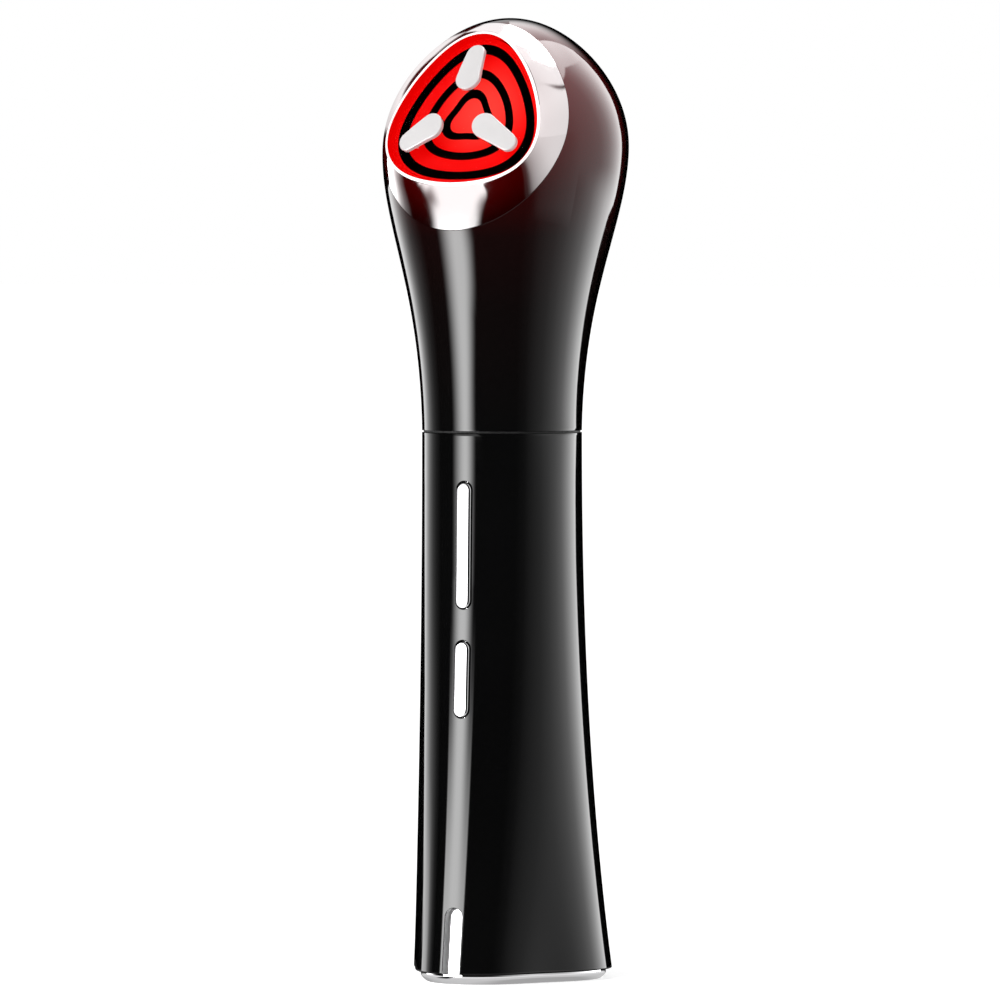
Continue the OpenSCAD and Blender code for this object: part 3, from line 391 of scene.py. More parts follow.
def inlay_outline(grow=0.0):
    """Half-round top over straight sides that end square at the foot: centres and vectors to the edge."""
    steps, side_steps, foot_steps = 24, 20, 7
    r, top = INLAY_W / 2 + grow, INLAY_TOP - INLAY_W / 2
    t = np.linspace(0, np.pi, steps + 1)
    down = np.linspace(top, FOOT_Z, side_steps + 1)[1:]
    across = np.linspace(-r, r, foot_steps + 2)[1:-1]
    centre = np.concatenate([np.full(len(t), top), down, np.full(foot_steps, FOOT_Z), down[::-1]])
    vectors = [np.stack([r * np.cos(t), r * np.sin(t)], -1), np.tile([-r, 0.0], (side_steps, 1)),
               np.stack([across, 0 * across], -1), np.tile([r, 0.0], (side_steps, 1))]
    return centre, np.concatenate(vectors)


def inlay_cutter():
    """Room of the strip: its outline with a little air, opened at the mouth, carried through the wall."""
    centre, vector = inlay_outline(INLAY_CLEAR)
    rows = []
    for share, ease, depth in ((0, 0, -1), (1, 0.22, -1), (1, 0.22, -0.15), (1, 0.06, 0.03), (1, 0, 0.12),
                               (1, 0, HANDLE_WALL + 1), (0, 0, HANDLE_WALL + 1)):
        x, z = reached(centre, vector, share + ease / (INLAY_W / 2))
        row = on_front(x, np.maximum(z, FOOT_Z), depth)
        row[:, 2] = np.where(z <= FOOT_Z + 1e-6, FOOT_Z - 1, z)
        rows.append(row)
    return piece("inlay_room", [grid(rows)])


def make_handle():
    """Outer skin, eased top and foot edges and the inner wall in one shell, cut open in front."""
    a = turn()
    top = SEAM_Z - SEAM_GAP / 2
    in_top, down_top = rounded(SEAM_EDGE)
    in_foot, up_foot = rounded(FOOT_EDGE)
    rows = [handle_skin(a, FOOT_Z, HANDLE_WALL)]
    rows += [handle_skin(a, FOOT_Z + u, i) for i, u in zip(in_foot, up_foot)]
    rows += [handle_skin(a, z) for z in np.linspace(FOOT_Z + EDGE_ROOM, top - EDGE_ROOM, 120)]
    rows += [handle_skin(a, top - u, i) for i, u in zip(in_top[::-1], down_top[::-1])]
    rows += [handle_skin(a, z, HANDLE_WALL) for z in np.linspace(top, FOOT_Z + 5, 16)]
    shell = piece("handle_skin", [grid(rows, loop=True)])
    carve(shell, slot_cutter(LONG_SLOT), slot_cutter(SHORT_SLOT), inlay_cutter())
    return stand_for(shell, "housing", "handle_black", "handle_shell")


def make_inlay():
    """Bright strip that follows the barrel's front, set back in its window like the foot plate's side."""
    centre, vector = inlay_outline()
    full = np.hypot(vector[:, 0], vector[:, 1])
    rows = []
    for inset, depth in ((None, 0.0), (0.85, 0.0), (0.16, 0.0), (0.05, 0.03), (0.0, 0.12),
                         (0.0, INLAY_T), (None, INLAY_T)):
        share = 0 * full if inset is None else np.clip(1 - inset / np.maximum(full, 1e-9), 0, 1)
        rows.append(on_front(*reached(centre, vector, share), PLATE_INSET + depth))
    strip = piece("front_strip", [grid(rows)])
    return stand_for(strip, "housing", "bright_plate", "front_inlay")


def make_button(name, ends, pegs, body, node):
    """Cap with a rounded edge, bent with the neck, its flange behind the wall and the pegs behind that."""
    slot = slot_frame(*ends)
    width = SLOT_W - 2 * SLOT_CLEAR
    flange = SLOT_WALL + 0.1
    steps = [(-width / 2, -BUTTON_PROUD, 1), (-1.2, -BUTTON_PROUD, 1), (-0.8, -BUTTON_PROUD, 1)]
    steps += [(-i, u - BUTTON_PROUD, 1) for i, u in zip(*rounded(BUTTON_EDGE))]
    steps += [(0.0, flange, 0), (FLANGE_LIP, flange, 0), (FLANGE_LIP, flange + FLANGE_T, 0)]
    steps += [(-width / 2, flange + FLANGE_T, 0)]
    shells = [grid(slot_rows(slot, width, steps))]
    t = turn(32)
    start, end = flange + FLANGE_T / 2, PEG_END_Y - slot[0][1]
    profile = ((0, start), (PEG_R, start), (PEG_R, end - PEG_EDGE), (PEG_R - PEG_EDGE, end), (0, end))
    for s in pegs:
        shells.append(grid([in_slot(slot, r * np.cos(t), depth, s + r * np.sin(t)) for r, depth in profile]))
    return stand_for(piece(name, shells), body, "bright_key", node)


# Foot
def contact_cutter(side):
    """Hole for a charging contact, with a chamfer below, through the foot plate."""
    wide, edge, through = CONTACT_R + 0.3, 0.25, 3.0
    profile = ((0, -1), (wide, -1), (wide, 0), (CONTACT_R, edge), (CONTACT_R, through), (0, through))
    rows = [level_ring(turn(64), r, z) + [side * CONTACT_PITCH / 2, 0, 0] for r, z in profile]
    return piece("contact_room", [grid(rows)])


def make_foot_plate():
    """Plate with straight sides above a bulging bevel, whose inset falls with a power of the height."""
    a = turn()
    rows = [level_ring(a, 0.0, 0.0)]

    def add_row(inset, z):
        """The handle's lower outline, drawn in and put at a height of the plate."""
        rows.append(handle_skin(a, FOOT_Z, PLATE_INSET + inset))
        rows[-1][:, 2] = z

    for share in np.linspace(0, 1, 13):
        add_row(PLATE_EDGE * (1 - share) ** PLATE_POWER, PLATE_EDGE * share)
    for i, u in reversed(list(zip(*rounded(PLATE_TOP_EDGE, 3)))):
        add_row(i, FOOT_Z - u)
    rows.append(level_ring(a, 0.0, FOOT_Z))
    plate = piece("foot_plate_skin", [grid(rows)])
    carve(plate, contact_cutter(-1), contact_cutter(1))
    return stand_for(plate, "housing", "bright_plate", "foot_plate")


# Head
def face_cutter():
    """Room of the face: rays at the edge's depth, drawn to one point near the axis, and all in front."""
    a = turn(192)
    centre_r, wide = 8.0, 50
    rows = [round_face(a, 0, -RING_RISE)]
    for r in (2, 4, 6, 8, 14, 20, 26, wide):
        rows.append(round_face(a, r, -RING_RISE + (edge_z(a) + RING_RISE) * min(1.0, r / centre_r)))
    rows += [round_face(a, wide, wide), round_face(a, 0, wide)]
    return piece("face_room", [grid(rows)])


def make_head():
    """Outer skin, eased lower edge and inner wall, with the room of the face taken out."""
    a = turn()
    low = SEAM_Z + SEAM_GAP / 2
    lift = np.sin(np.linspace(0, np.pi / 2, 64))[1:]
    heights = np.concatenate([np.linspace(low + EDGE_ROOM, WIDE_Z, 110), WIDE_Z + CAP_H * lift])
    inner = np.concatenate([WIDE_Z + (CAP_H - HEAD_WALL) * lift[::-4], np.linspace(WIDE_Z, low, 40)])
    rows = [head_lining(a, z) for z in inner]
    rows += [head_skin(a, low + u, i) for i, u in zip(*rounded(SEAM_EDGE))]
    rows += [head_skin(a, z) for z in heights]
    shell = piece("head_skin", [grid(rows)])
    carve(shell, face_cutter(), sharp=28)
    return stand_for(shell, "housing", "smoked_shell", "head_shell")


def make_ring():
    """Band from the head's edge up to the rim, a rounded lip, the chamber's wall and the skirt."""
    a = turn(360)
    foot, rim, skirt = edge_r(a), rim_r(a), edge_r(a, SKIRT_IN)
    low = edge_z(a) + RING_GAP
    skirt_z = -RING_RISE - EDGE_BOW - SKIRT_H

    def on_band(u):
        """Distance and height on the straight way from edge to rim, with half a sine of swell."""
        return foot * (1 - u) + rim * u, low * (1 - u) + RING_SWELL * np.sin(np.pi * u)

    shoulder_r, shoulder_h = on_band(SHOULDER)
    lip_r = rim - LIP_W * 0.55
    profile = [(foot - 0.12, low)]
    profile += [on_band(u) for u in np.linspace(0.012, SHOULDER, 40)]
    profile += [(shoulder_r + (lip_r - shoulder_r) * np.sin(t),
                 shoulder_h + (LIP_RISE - shoulder_h) * (1 - np.cos(t)))
                for t in np.linspace(0.12, 1, 7) * np.pi / 2]
    profile += [(rim - LIP_W + 0.05, 0.04), (rim - LIP_W, -0.03), (rim - LIP_W, -LIP_T)]
    profile += [(rim - 0.1, -LIP_T), (rim - 0.1, PANEL_BACK)]
    profile += [(skirt - SKIRT_T, PANEL_BACK), (skirt - SKIRT_T, skirt_z), (skirt, skirt_z), (skirt, low)]
    band = piece("face_band", [grid([round_face(a, r, h) for r, h in profile], loop=True)], sharp=40)
    return stand_for(band, "housing", "bright_plate", "face_ring")


def pad_outline():
    """Outline of the top electrode: a bar that tapers away from the face's middle."""
    return stadium(PAD_INNER_AT, PAD_INNER_R, PAD_OUTER_AT, PAD_OUTER_R)


def seat_cutter(angle):
    """Seat of an electrode: its outline with a little air, through the lens."""
    middle, ray, r = pad_outline()
    rows = []
    for reach, h in ((0 * r, -1.0), (r + PAD_CLEAR, -1.0), (r + PAD_CLEAR, 5.0), (0 * r, 5.0)):
        rows.append(on_face(*spun(*reached(middle, ray, reach), angle), h))
    return piece("seat_room", [grid(rows)])


def make_lens():
    """Clear dome with its flange under the lip, hollow below, and a seat for each electrode. Both domes fall
    with the square of the share of the way out."""
    a = turn(192)
    shares = np.sin(np.linspace(0, np.pi / 2, 28))
    dome, side, hollow = (rim_r(a, i) for i in (DOME_INSET, LENS_SIDE, DOME_INSET + LENS_T - 0.2))
    under_lip, hollow_top = -LIP_T - LENS_CLEAR, DOME_H - LENS_T
    profile = [(dome * s, DOME_H * (1 - s * s)) for s in shares]
    profile += [(dome, under_lip), (side, under_lip), (side, PANEL_Z), (hollow, PANEL_Z)]
    profile += [(hollow * s, hollow_top + (HOLLOW_LOW - hollow_top) * s * s) for s in shares[::-1]]
    lens = piece("face_lens_skin", [grid([round_face(a, r, h) for r, h in profile])])
    carve(lens, *(seat_cutter(k * THIRD) for k in range(3)), sharp=30)
    return stand_for(lens, "housing", "clear_lens", "face_lens")


def make_electrode(name, angle, node):
    """Tapered plate that follows the dome, with a rounded edge, and its stem below."""
    middle, ray, r = pad_outline()
    base = PAD_PROUD + PAD_DEPTH - 0.1
    steps = [(0.0, 0.0, 0.0), (0.35, 0.0, 0.0), (0.7, 0.0, 0.0)]
    steps += [(1.0, i, u) for i, u in zip(*rounded(PAD_EDGE))]
    steps += [(1.0, 0.0, base), (0.0, 0.0, base)]
    rows = []
    for share, inset, sink in steps:
        x, y = reached(middle, ray, r * share - inset)
        rows.append(on_face(*spun(x, y, angle), dome_h(x, y) + PAD_PROUD - sink))
    t = turn(32)
    stem_at = PAD_OUTER_AT - STEM_INSET
    low, top = PANEL_BACK - 0.7, float(dome_h(0.0, stem_at)) - 0.45
    stem = []
    for q, h in ((0, low), (STEM_R - 0.1, low), (STEM_R, low + 0.1), (STEM_R, PANEL_Z - 0.3),
                 (PIN_R, PANEL_Z - 0.1), (PIN_R, top), (0, top)):
        stem.append(on_face(*spun(q * np.cos(t), stem_at + q * np.sin(t), angle), h))
    pad = piece(name, [grid(rows), grid(stem)], sharp=40)
    return stand_for(pad, "housing", "electrode_metal", node)


def make_panel():
    """Lit plate under the lens, with an eased edge."""
    a = turn(192)
    rows = []
    for share, inset, h in ((0, 0, PANEL_Z), (0.3, 0, PANEL_Z), (0.6, 0, PANEL_Z), (0.85, 0, PANEL_Z),
                            (1, 0.15, PANEL_Z), (1, 0.04, PANEL_Z - 0.04), (1, 0, PANEL_Z - 0.15),
                            (1, 0, PANEL_BACK), (0, 0, PANEL_BACK)):
        rows.append(round_face(a, rim_r(a, DOME_INSET) * share - inset, h))
    return stand_for(piece("lit_panel", [grid(rows)]), "housing", "lit_red", "light_panel")


def make_contours():
    """Three raised dark lines, each a low bar with eased edges carried round a rounded triangle."""
    a = turn(240)
    shells = []
    for inner, outer, corner in CONTOURS:
        r0, r1 = (corner_r(a, FACE_R * share, corner) for share in (inner, outer))
        side, eased_h = CONTOUR_H - 0.08, CONTOUR_H - 0.02
        profile = ((r0, 0), (r0, side), (r0 + 0.03, eased_h), (r0 + 0.1, CONTOUR_H),
                   (r1 - 0.1, CONTOUR_H), (r1 - 0.03, eased_h), (r1, side), (r1, 0))
        shells.append(grid([round_face(a, r, PANEL_Z + h) for r, h in profile], loop=True))
    return stand_for(piece("contour_bars", shells), "housing", "contour_black", "contour_lines")


handle = make_handle()
inlay = make_inlay()
long_cap = make_button("long_cap", LONG_SLOT, (-PEG_PITCH, 0, PEG_PITCH), "long_key", "long_button")
short_cap = make_button("short_cap", SHORT_SLOT, (0,), "short_key", "short_button")
foot = make_foot_plate()
head = make_head()
band = make_ring()
lens = make_lens()
pads = [make_electrode(f"{side}_pad", k * THIRD, f"{side}_electrode")
        for k, side in enumerate(("top", "left", "right"))]
panel = make_panel()
contours = make_contours()


# Shared effects, each a node group that reads Object coordinates through its Vector
FLOAT, VECTOR, COLOUR = "NodeSocketFloat", "NodeSocketVector", "NodeSocketColor"
MIX_A, MIX_B, MIX_OUT = 6, 7, 2


def add_node(tree, kind, sockets=None, **settings):
    """New node with its settings, each socket linked to a source or set to a plain value."""
    made = tree.nodes.new(kind)
    for label, value in settings.items():
        setattr(made, label, value)
    for socket, value in (sockets or {}).items():
        if isinstance(value, bpy.types.NodeSocket):
            tree.links.new(value, made.inputs[socket])
        else:
            made.inputs[socket].default_value = value
    return made


def new_group(name, inputs, outputs):
    """Empty node group, the outputs of its input node and the inputs of its output node."""
    tree = bpy.data.node_groups.new(name, "ShaderNodeTree")
    for label, kind in inputs.items():
        tree.interface.new_socket(label, in_out="INPUT", socket_type=kind)
    for label, kind in outputs.items():
        tree.interface.new_socket(label, in_out="OUTPUT", socket_type=kind)
    return tree, tree.nodes.new("NodeGroupInput").outputs, tree.nodes.new("NodeGroupOutput").inputs


def handling_marks():
    """Roughness from one value to another with a product of two noises: broad smudges and fine hairlines."""
    tree, given, result = new_group(
        "handling_marks", {"Vector": VECTOR, "Low": FLOAT, "High": FLOAT, "Scale": FLOAT},
        {"Roughness": FLOAT, "Height": FLOAT})
    finer = add_node(tree, "ShaderNodeMath", {0: given["Scale"], 1: 14.0}, operation="MULTIPLY")
    broad, fine = (
        add_node(tree, "ShaderNodeTexNoise", {"Vector": given["Vector"], "Scale": scale, "Detail": detail})
        for scale, detail in ((given["Scale"], 3), (finer.outputs[0], 2)))
    both = add_node(tree, "ShaderNodeMath", {0: broad.outputs["Fac"], 1: fine.outputs["Fac"]},
                    operation="MULTIPLY")
    rough = add_node(tree, "ShaderNodeMapRange", {
        "Value": both.outputs[0], "From Min": 0.15, "From Max": 0.4,
        "To Min": given["Low"], "To Max": given["High"]})
    tree.links.new(rough.outputs["Result"], result["Roughness"])
    tree.links.new(fine.outputs["Fac"], result["Height"])
    return tree


def colour_drift():
    """Colour that drifts from one to another with the middle part of a noise, from 0.3 to 0.7."""
    tree, given, result = new_group(
        "colour_drift",
        {"Vector": VECTOR, "Scale": FLOAT, "Detail": FLOAT, "First": COLOUR, "Second": COLOUR},
        {"Colour": COLOUR})
    noise = add_node(tree, "ShaderNodeTexNoise", {k: given[k] for k in ("Vector", "Scale", "Detail")})
    share = add_node(tree, "ShaderNodeMapRange", {
        "Value": noise.outputs["Fac"], "From Min": 0.3, "From Max": 0.7})
    mixed = add_node(tree, "ShaderNodeMix", {
        "Factor": share.outputs["Result"], MIX_A: given["First"], MIX_B: given["Second"]}, data_type="RGBA")
    tree.links.new(mixed.outputs[MIX_OUT], result["Colour"])
    return tree


def height_share():
    """Share of the way from one height to another."""
    tree, given, result = new_group(
        "height_share", {"Vector": VECTOR, "Low": FLOAT, "High": FLOAT}, {"Share": FLOAT})
    place = add_node(tree, "ShaderNodeSeparateXYZ", {"Vector": given["Vector"]})
    share = add_node(tree, "ShaderNodeMapRange", {
        "Value": place.outputs["Z"], "From Min": given["Low"], "From Max": given["High"]})
    tree.links.new(share.outputs["Result"], result["Share"])
    return tree


def round_spot():
    """Colour that is full up to one distance from a centre and fades smoothly to black at another."""
    tree, given, result = new_group(
        "round_spot", {"Vector": VECTOR, "Centre": VECTOR, "Near": FLOAT, "Far": FLOAT, "Colour": COLOUR},
        {"Colour": COLOUR})
    away = add_node(tree, "ShaderNodeVectorMath", {0: given["Vector"], 1: given["Centre"]},
                    operation="DISTANCE")
    fade = add_node(tree, "ShaderNodeMapRange", {
        "Value": away.outputs["Value"], "From Min": given["Near"], "From Max": given["Far"],
        "To Min": 1.0, "To Max": 0.0}, interpolation_type="SMOOTHSTEP")
    mixed = add_node(tree, "ShaderNodeMix", {
        "Factor": fade.outputs["Result"], MIX_A: (0, 0, 0, 1), MIX_B: given["Colour"]}, data_type="RGBA")
    tree.links.new(mixed.outputs[MIX_OUT], result["Colour"])
    return tree


HANDLING_MARKS = handling_marks()
COLOUR_DRIFT = colour_drift()
HEIGHT_SHARE = height_share()
ROUND_SPOT = round_spot()


class Finish:
    """Material of a slot, whose effects are added one by one and read Object coordinates."""

    def __init__(self, slot, **sockets):
        self.slot = slot
        self.material = bpy.data.materials.new(slot)
        self.material.use_nodes = True
        self.tree = self.material.node_tree
        self.shader = self.tree.nodes["Principled BSDF"]
        self.where = self.tree.nodes.new("ShaderNodeTexCoord").outputs["Object"]
        for label, value in sockets.items():
            self.shader.inputs[label.replace("_", " ")].default_value = value

    def node(self, kind, sockets=None, **settings):
        """A node of this material's own."""
        return add_node(self.tree, kind, sockets, **settings)

    def effect(self, shared, **values):
        """Outputs of a shared effect, placed with this material's own values."""
        return self.node("ShaderNodeGroup", {"Vector": self.where, **values}, node_tree=shared).outputs

    def feed(self, source, socket):
        """Links a source to a socket of the shader."""
        self.tree.links.new(source, self.shader.inputs[socket])
        return self

    def relief(self, height, strength):
        """Normal from a height of up to a fifth of a millimetre."""
        bump = self.node("ShaderNodeBump", {"Height": height, "Strength": strength, "Distance": 0.2 * MM})
        return self.feed(bump.outputs["Normal"], "Normal")

    def marks(self, low, high, scale, bump=0.0):
        """Roughness from the handling marks, and a faint relief where bump is more than nothing."""
        found = self.effect(HANDLING_MARKS, Low=low, High=high, Scale=scale)
        self.feed(found["Roughness"], "Roughness")
        return self.relief(found["Height"], bump) if bump else self

    def drift(self, colours, scale, detail=2.0):
        """Colour that drifts between two colours."""
        first, second = ((*colour, 1.0) for colour in colours)
        return self.effect(COLOUR_DRIFT, First=first, Second=second, Scale=scale, Detail=detail)["Colour"]

    def mottle(self, colours, scale, detail=2.0):
        """Base colour that drifts between two colours."""
        return self.feed(self.drift(colours, scale, detail), "Base Color")

    def ramp(self, share, *stops):
        """Colour that goes straight from stop to stop, each a share and a colour."""
        made = self.node("ShaderNodeValToRGB", {"Fac": share})
        for _ in stops[2:]:
            made.color_ramp.elements.new(0.5)
        for element, (place, colour) in zip(made.color_ramp.elements, stops):
            element.position = place
            element.color = (*colour, 1.0)
        return made.outputs["Color"]

    def by_height(self, low, high, *stops):
        """Colour from stops on the way from one height to another, in millimetres."""
        return self.ramp(self.effect(HEIGHT_SHARE, Low=low * MM, High=high * MM)["Share"], *stops)

    def slanted(self, colour, low, high, other):
        """Colour that turns to another where the surface is seen at a slant, from one share to the next."""
        slant = self.node("ShaderNodeLayerWeight", {"Blend": 0.5}).outputs["Facing"]
        share = self.node("ShaderNodeMapRange", {"Value": slant, "From Min": low, "From Max": high},
                          interpolation_type="SMOOTHSTEP").outputs["Result"]
        mixed = self.node("ShaderNodeMix", {"Factor": share, MIX_A: colour, MIX_B: (*other, 1.0)},
                          data_type="RGBA")
        return mixed.outputs[MIX_OUT]

    def glow(self, *spots):
        """Emission colour: the sum of round spots, each a centre, two distances and a colour."""
        total = None
        for centre, near, far, colour in spots:
            part = self.effect(ROUND_SPOT, Centre=tuple(centre * MM), Near=near * MM, Far=far * MM,
                               Colour=(*colour, 1.0))["Colour"]
            if total is not None:
                added = self.node("ShaderNodeVectorMath", {0: total, 1: part}, operation="ADD")
                part = added.outputs["Vector"]
            total = part
        return self.feed(total, "Emission Color")


# Finishes
def handle_black():
    """Black gloss with faint smudges."""
    f = Finish("handle_black", IOR=1.5)
    return f.mottle(((0.0026, 0.0026, 0.0027), (0.0034, 0.0034, 0.0035)), 25).marks(0.035, 0.06, 45)


def recess_wall():
    """Pale satin wall of the strip's window."""
    f = Finish("recess_wall", IOR=1.4)
    return f.mottle(((0.4, 0.4, 0.405), (0.5, 0.5, 0.5)), 900, 3).marks(0.3, 0.4, 300)


def seam_black():
    """Matt black of the slots' walls and of the shells' end edges."""
    f = Finish("seam_black", Specular_IOR_Level=0.05)
    return f.mottle(((0.002, 0.002, 0.002), (0.004, 0.004, 0.004)), 300).marks(0.6, 0.8, 300)


def smoked_shell():
    """Smoked gloss: black at the neck, deep red towards the crown, and a painted shade that turns it black
    where it is seen at a slant.
    """
    f = Finish("smoked_shell", IOR=1.5)
    tint = f.by_height(
        SEAM_Z, TOTAL_H, (0.0, (0.0032, 0.0032, 0.0033)), (0.30, (0.0048, 0.0031, 0.0031)),
        (0.47, (0.0085, 0.0030, 0.0030)), (0.58, (0.028, 0.0022, 0.0022)), (0.70, (0.070, 0.0020, 0.0022)),
        (0.86, (0.12, 0.004, 0.006)))
    # Painted shade: the tint turns black where the shell is seen at a slant.
    return f.feed(f.slanted(tint, 0.6, 0.82, (0.003, 0.002, 0.002)), "Base Color").marks(0.035, 0.06, 45)


def bright_plate():
    """Bright plating of the strip and the foot plate."""
    f = Finish("bright_plate", Metallic=1.0)
    return f.mottle(((0.86, 0.86, 0.87), (0.92, 0.91, 0.92)), 30).marks(0.03, 0.07, 50)


def lit_band():
    """The ring's plating, with a painted red glow of the panel's light round the face and a painted dark red
    shade where it turns away.
    """
    f = Finish("lit_band", Metallic=1.0, Emission_Strength=1.0)
    silver = f.drift(((0.89, 0.86, 0.865), (0.92, 0.89, 0.89)), 30)
    # Painted shade: the plating turns dark red where it is seen at a slant.
    f.feed(f.slanted(silver, 0.78, 0.96, (0.1, 0.04, 0.045)), "Base Color").marks(0.06, 0.1, 50)
    # Painted glow: a faint red emission spot round the face stands for the panel's light on the plating.
    return f.glow((FACE_AT, 15, 27, (0.06, 0.0, 0.0)))


def lip_bright():
    """The ring's lip, with a painted glow for the panel's light that it catches."""
    f = Finish("lip_bright", Metallic=0.5, Emission_Strength=0.75)
    f.mottle(((0.9, 0.88, 0.88), (0.95, 0.93, 0.93)), 60).marks(0.25, 0.35, 90)
    # Painted glow: white emission, a little pinker towards the top.
    return f.feed(f.by_height(160, 196, (0.0, (1.0, 0.97, 0.97)), (1.0, (1.0, 0.95, 0.95))), "Emission Color")


def lit_red():
    """The lit panel: red all over, brighter and then paler towards its middle."""
    f = Finish("lit_red", Emission_Strength=0.85, Specular_IOR_Level=0.03)
    f.mottle(((0.2, 0.001, 0.001), (0.26, 0.002, 0.002)), 200).marks(0.45, 0.6, 300)
    return f.glow((FACE_AT, 60, 80, (0.74, 0.0, 0.0)),
                  (FACE_AT + 5 * FACE_X + 2 * FACE_Y, 3, 21, (0.24, 0.0, 0.0)),
                  (FACE_AT + 3 * FACE_X + 2 * FACE_Y, 1, 13, (0.1, 0.06, 0.045)))


def bright_key():
    """Bright plating of the two keys."""
    f = Finish("bright_key", Metallic=1.0)
    return f.mottle(((0.9, 0.9, 0.91), (0.95, 0.95, 0.95)), 60).marks(0.05, 0.1, 90)


def clear_lens():
    """Clear cover that hardly bends the light, so that the panel shows straight through."""
    f = Finish("clear_lens", IOR=1.02, Transmission_Weight=1.0)
    return f.mottle(((1.0, 0.97, 0.97), (1.0, 0.98, 0.98)), 20).marks(0.0, 0.02, 60)


def electrode_metal():
    """Satin silver of the electrodes, with a faint painted glow that grows upwards."""
    f = Finish("electrode_metal", Metallic=0.15, Emission_Strength=0.04, Specular_IOR_Level=0.3)
    f.mottle(((0.79, 0.77, 0.77), (0.85, 0.83, 0.83)), 120, 4).marks(0.32, 0.42, 300, bump=0.05)
    # Painted glow, brighter towards the top.
    return f.feed(f.by_height(165, 192, (0.0, (0.8, 0.76, 0.76)), (1.0, (1.0, 0.96, 0.96))), "Emission Color")


def contour_black():
    """Dull black of the lines on the panel."""
    f = Finish("contour_black", Specular_IOR_Level=0.0)
    return f.mottle(((0.0003, 0.0003, 0.0003), (0.0006, 0.0006, 0.0006)), 300).marks(0.6, 0.8, 300, bump=0.1)


def plain(slot, colours, rough, scale=120.0, bump=0.15, **sockets):
    """Inner piece of one drifting colour, with handling marks of the same scale."""
    return Finish(slot, **sockets).mottle(colours, scale).marks(*rough, scale, bump=bump)


def wound(slot, colours, scale, rough, **sockets):
    """Fine turns of wire round the upright axis: colour and relief follow a wave of the height."""
    f = Finish(slot, Roughness=rough, **sockets)
    turns = f.node("ShaderNodeTexWave", {"Vector": f.where, "Scale": scale, "Distortion": 0.4},
                   bands_direction="Z").outputs["Fac"]
    f.feed(f.ramp(turns, (0.2, colours[0]), (0.8, colours[1])), "Base Color")
    return f.relief(turns, 0.4)


def paint(obj, *finishes):
    """Gives a piece its finishes in place of those it has."""
    obj.data.materials.clear()
    for finish in finishes:
        obj.data.materials.append(finish.material)


def paint_zones(obj, zone_of, *finishes):
    """Gives each face one of the finishes, by the number of the zone that its middle lies in."""
    paint(obj, *finishes)
    middles = np.empty(len(obj.data.polygons) * 3, np.float32)
    obj.data.polygons.foreach_get("center", middles)
    zones = zone_of(*(middles.reshape(-1, 3) / MM).T)
    obj.data.polygons.foreach_set("material_index", zones.astype(np.int32))


def handle_zone(x, y, z):
    """1 on the walls of the strip's window, 2 on the slots' walls and the end edges, and 0 on the rest."""
    sunk = np.hypot(*handle_skin(np.arctan2(x, -y), z)[:, :2].T) - np.hypot(x, y)
    front = (y < 0) & (sunk < HANDLE_WALL - 0.02)
    strip = (abs(x) < INLAY_W / 2 + 0.12) & (z < INLAY_TOP + 0.1) & (z > FOOT_Z + 0.02) & (sunk > 0.1)
    slots = (abs(x) < SLOT_W) & (z > SHORT_SLOT[0] - 1) & (z < LONG_SLOT[1] + 1) & (sunk > 0.02)
    ends = (z > SEAM_Z - SEAM_GAP / 2 - 0.1) | (z < FOOT_Z + 0.25) & (sunk > 0.01)
    return np.where(front & strip, 1, np.where(front & slots | ends, 2, 0))


def head_zone(x, y, z):
    """1 on the head's lower edge, and 0 on the rest."""
    return z < SEAM_Z + SEAM_GAP / 2 + 0.1


def ring_zone(x, y, z):
    """1 on the lip, 2 on the chamber's wall under it, which gets the lit panel's red as a painted glow, and 0
    on the rest.
    """
    at = np.stack([x, y, z], -1) - FACE_AT
    across, up, out = at @ FACE_X, at @ FACE_Y, at @ FACE_OUT
    r, around = np.hypot(across, up), np.arctan2(across, -up)
    rim, foot = rim_r(around), edge_r(around)
    lip = (r < rim + (foot - rim) * 0.04) & (r > rim - LIP_W - 0.02) & (out > -0.25)
    chamber = (r < rim - 0.05) & (out < -0.25)
    return np.where(lip, 1, np.where(chamber, 2, 0))


def paint_outside():
    """Finishes of the pieces that show. Three of them have more than one, each on part of their faces."""
    seam, red, bright, plated = seam_black(), lit_red(), bright_plate(), bright_key()
    silver = electrode_metal()
    paint_zones(handle, handle_zone, handle_black(), recess_wall(), seam)
    paint_zones(head, head_zone, smoked_shell(), seam)
    # The chamber's wall takes the lit panel's emissive red: a painted glow of the panel's light.
    paint_zones(band, ring_zone, lit_band(), lip_bright(), red)
    for obj, finish in ((foot, bright), (inlay, bright), (panel, red), (long_cap, plated),
                        (short_cap, plated), (lens, clear_lens()), (contours, contour_black())):
        paint(obj, finish)
    for pad in pads:
        paint(pad, silver)


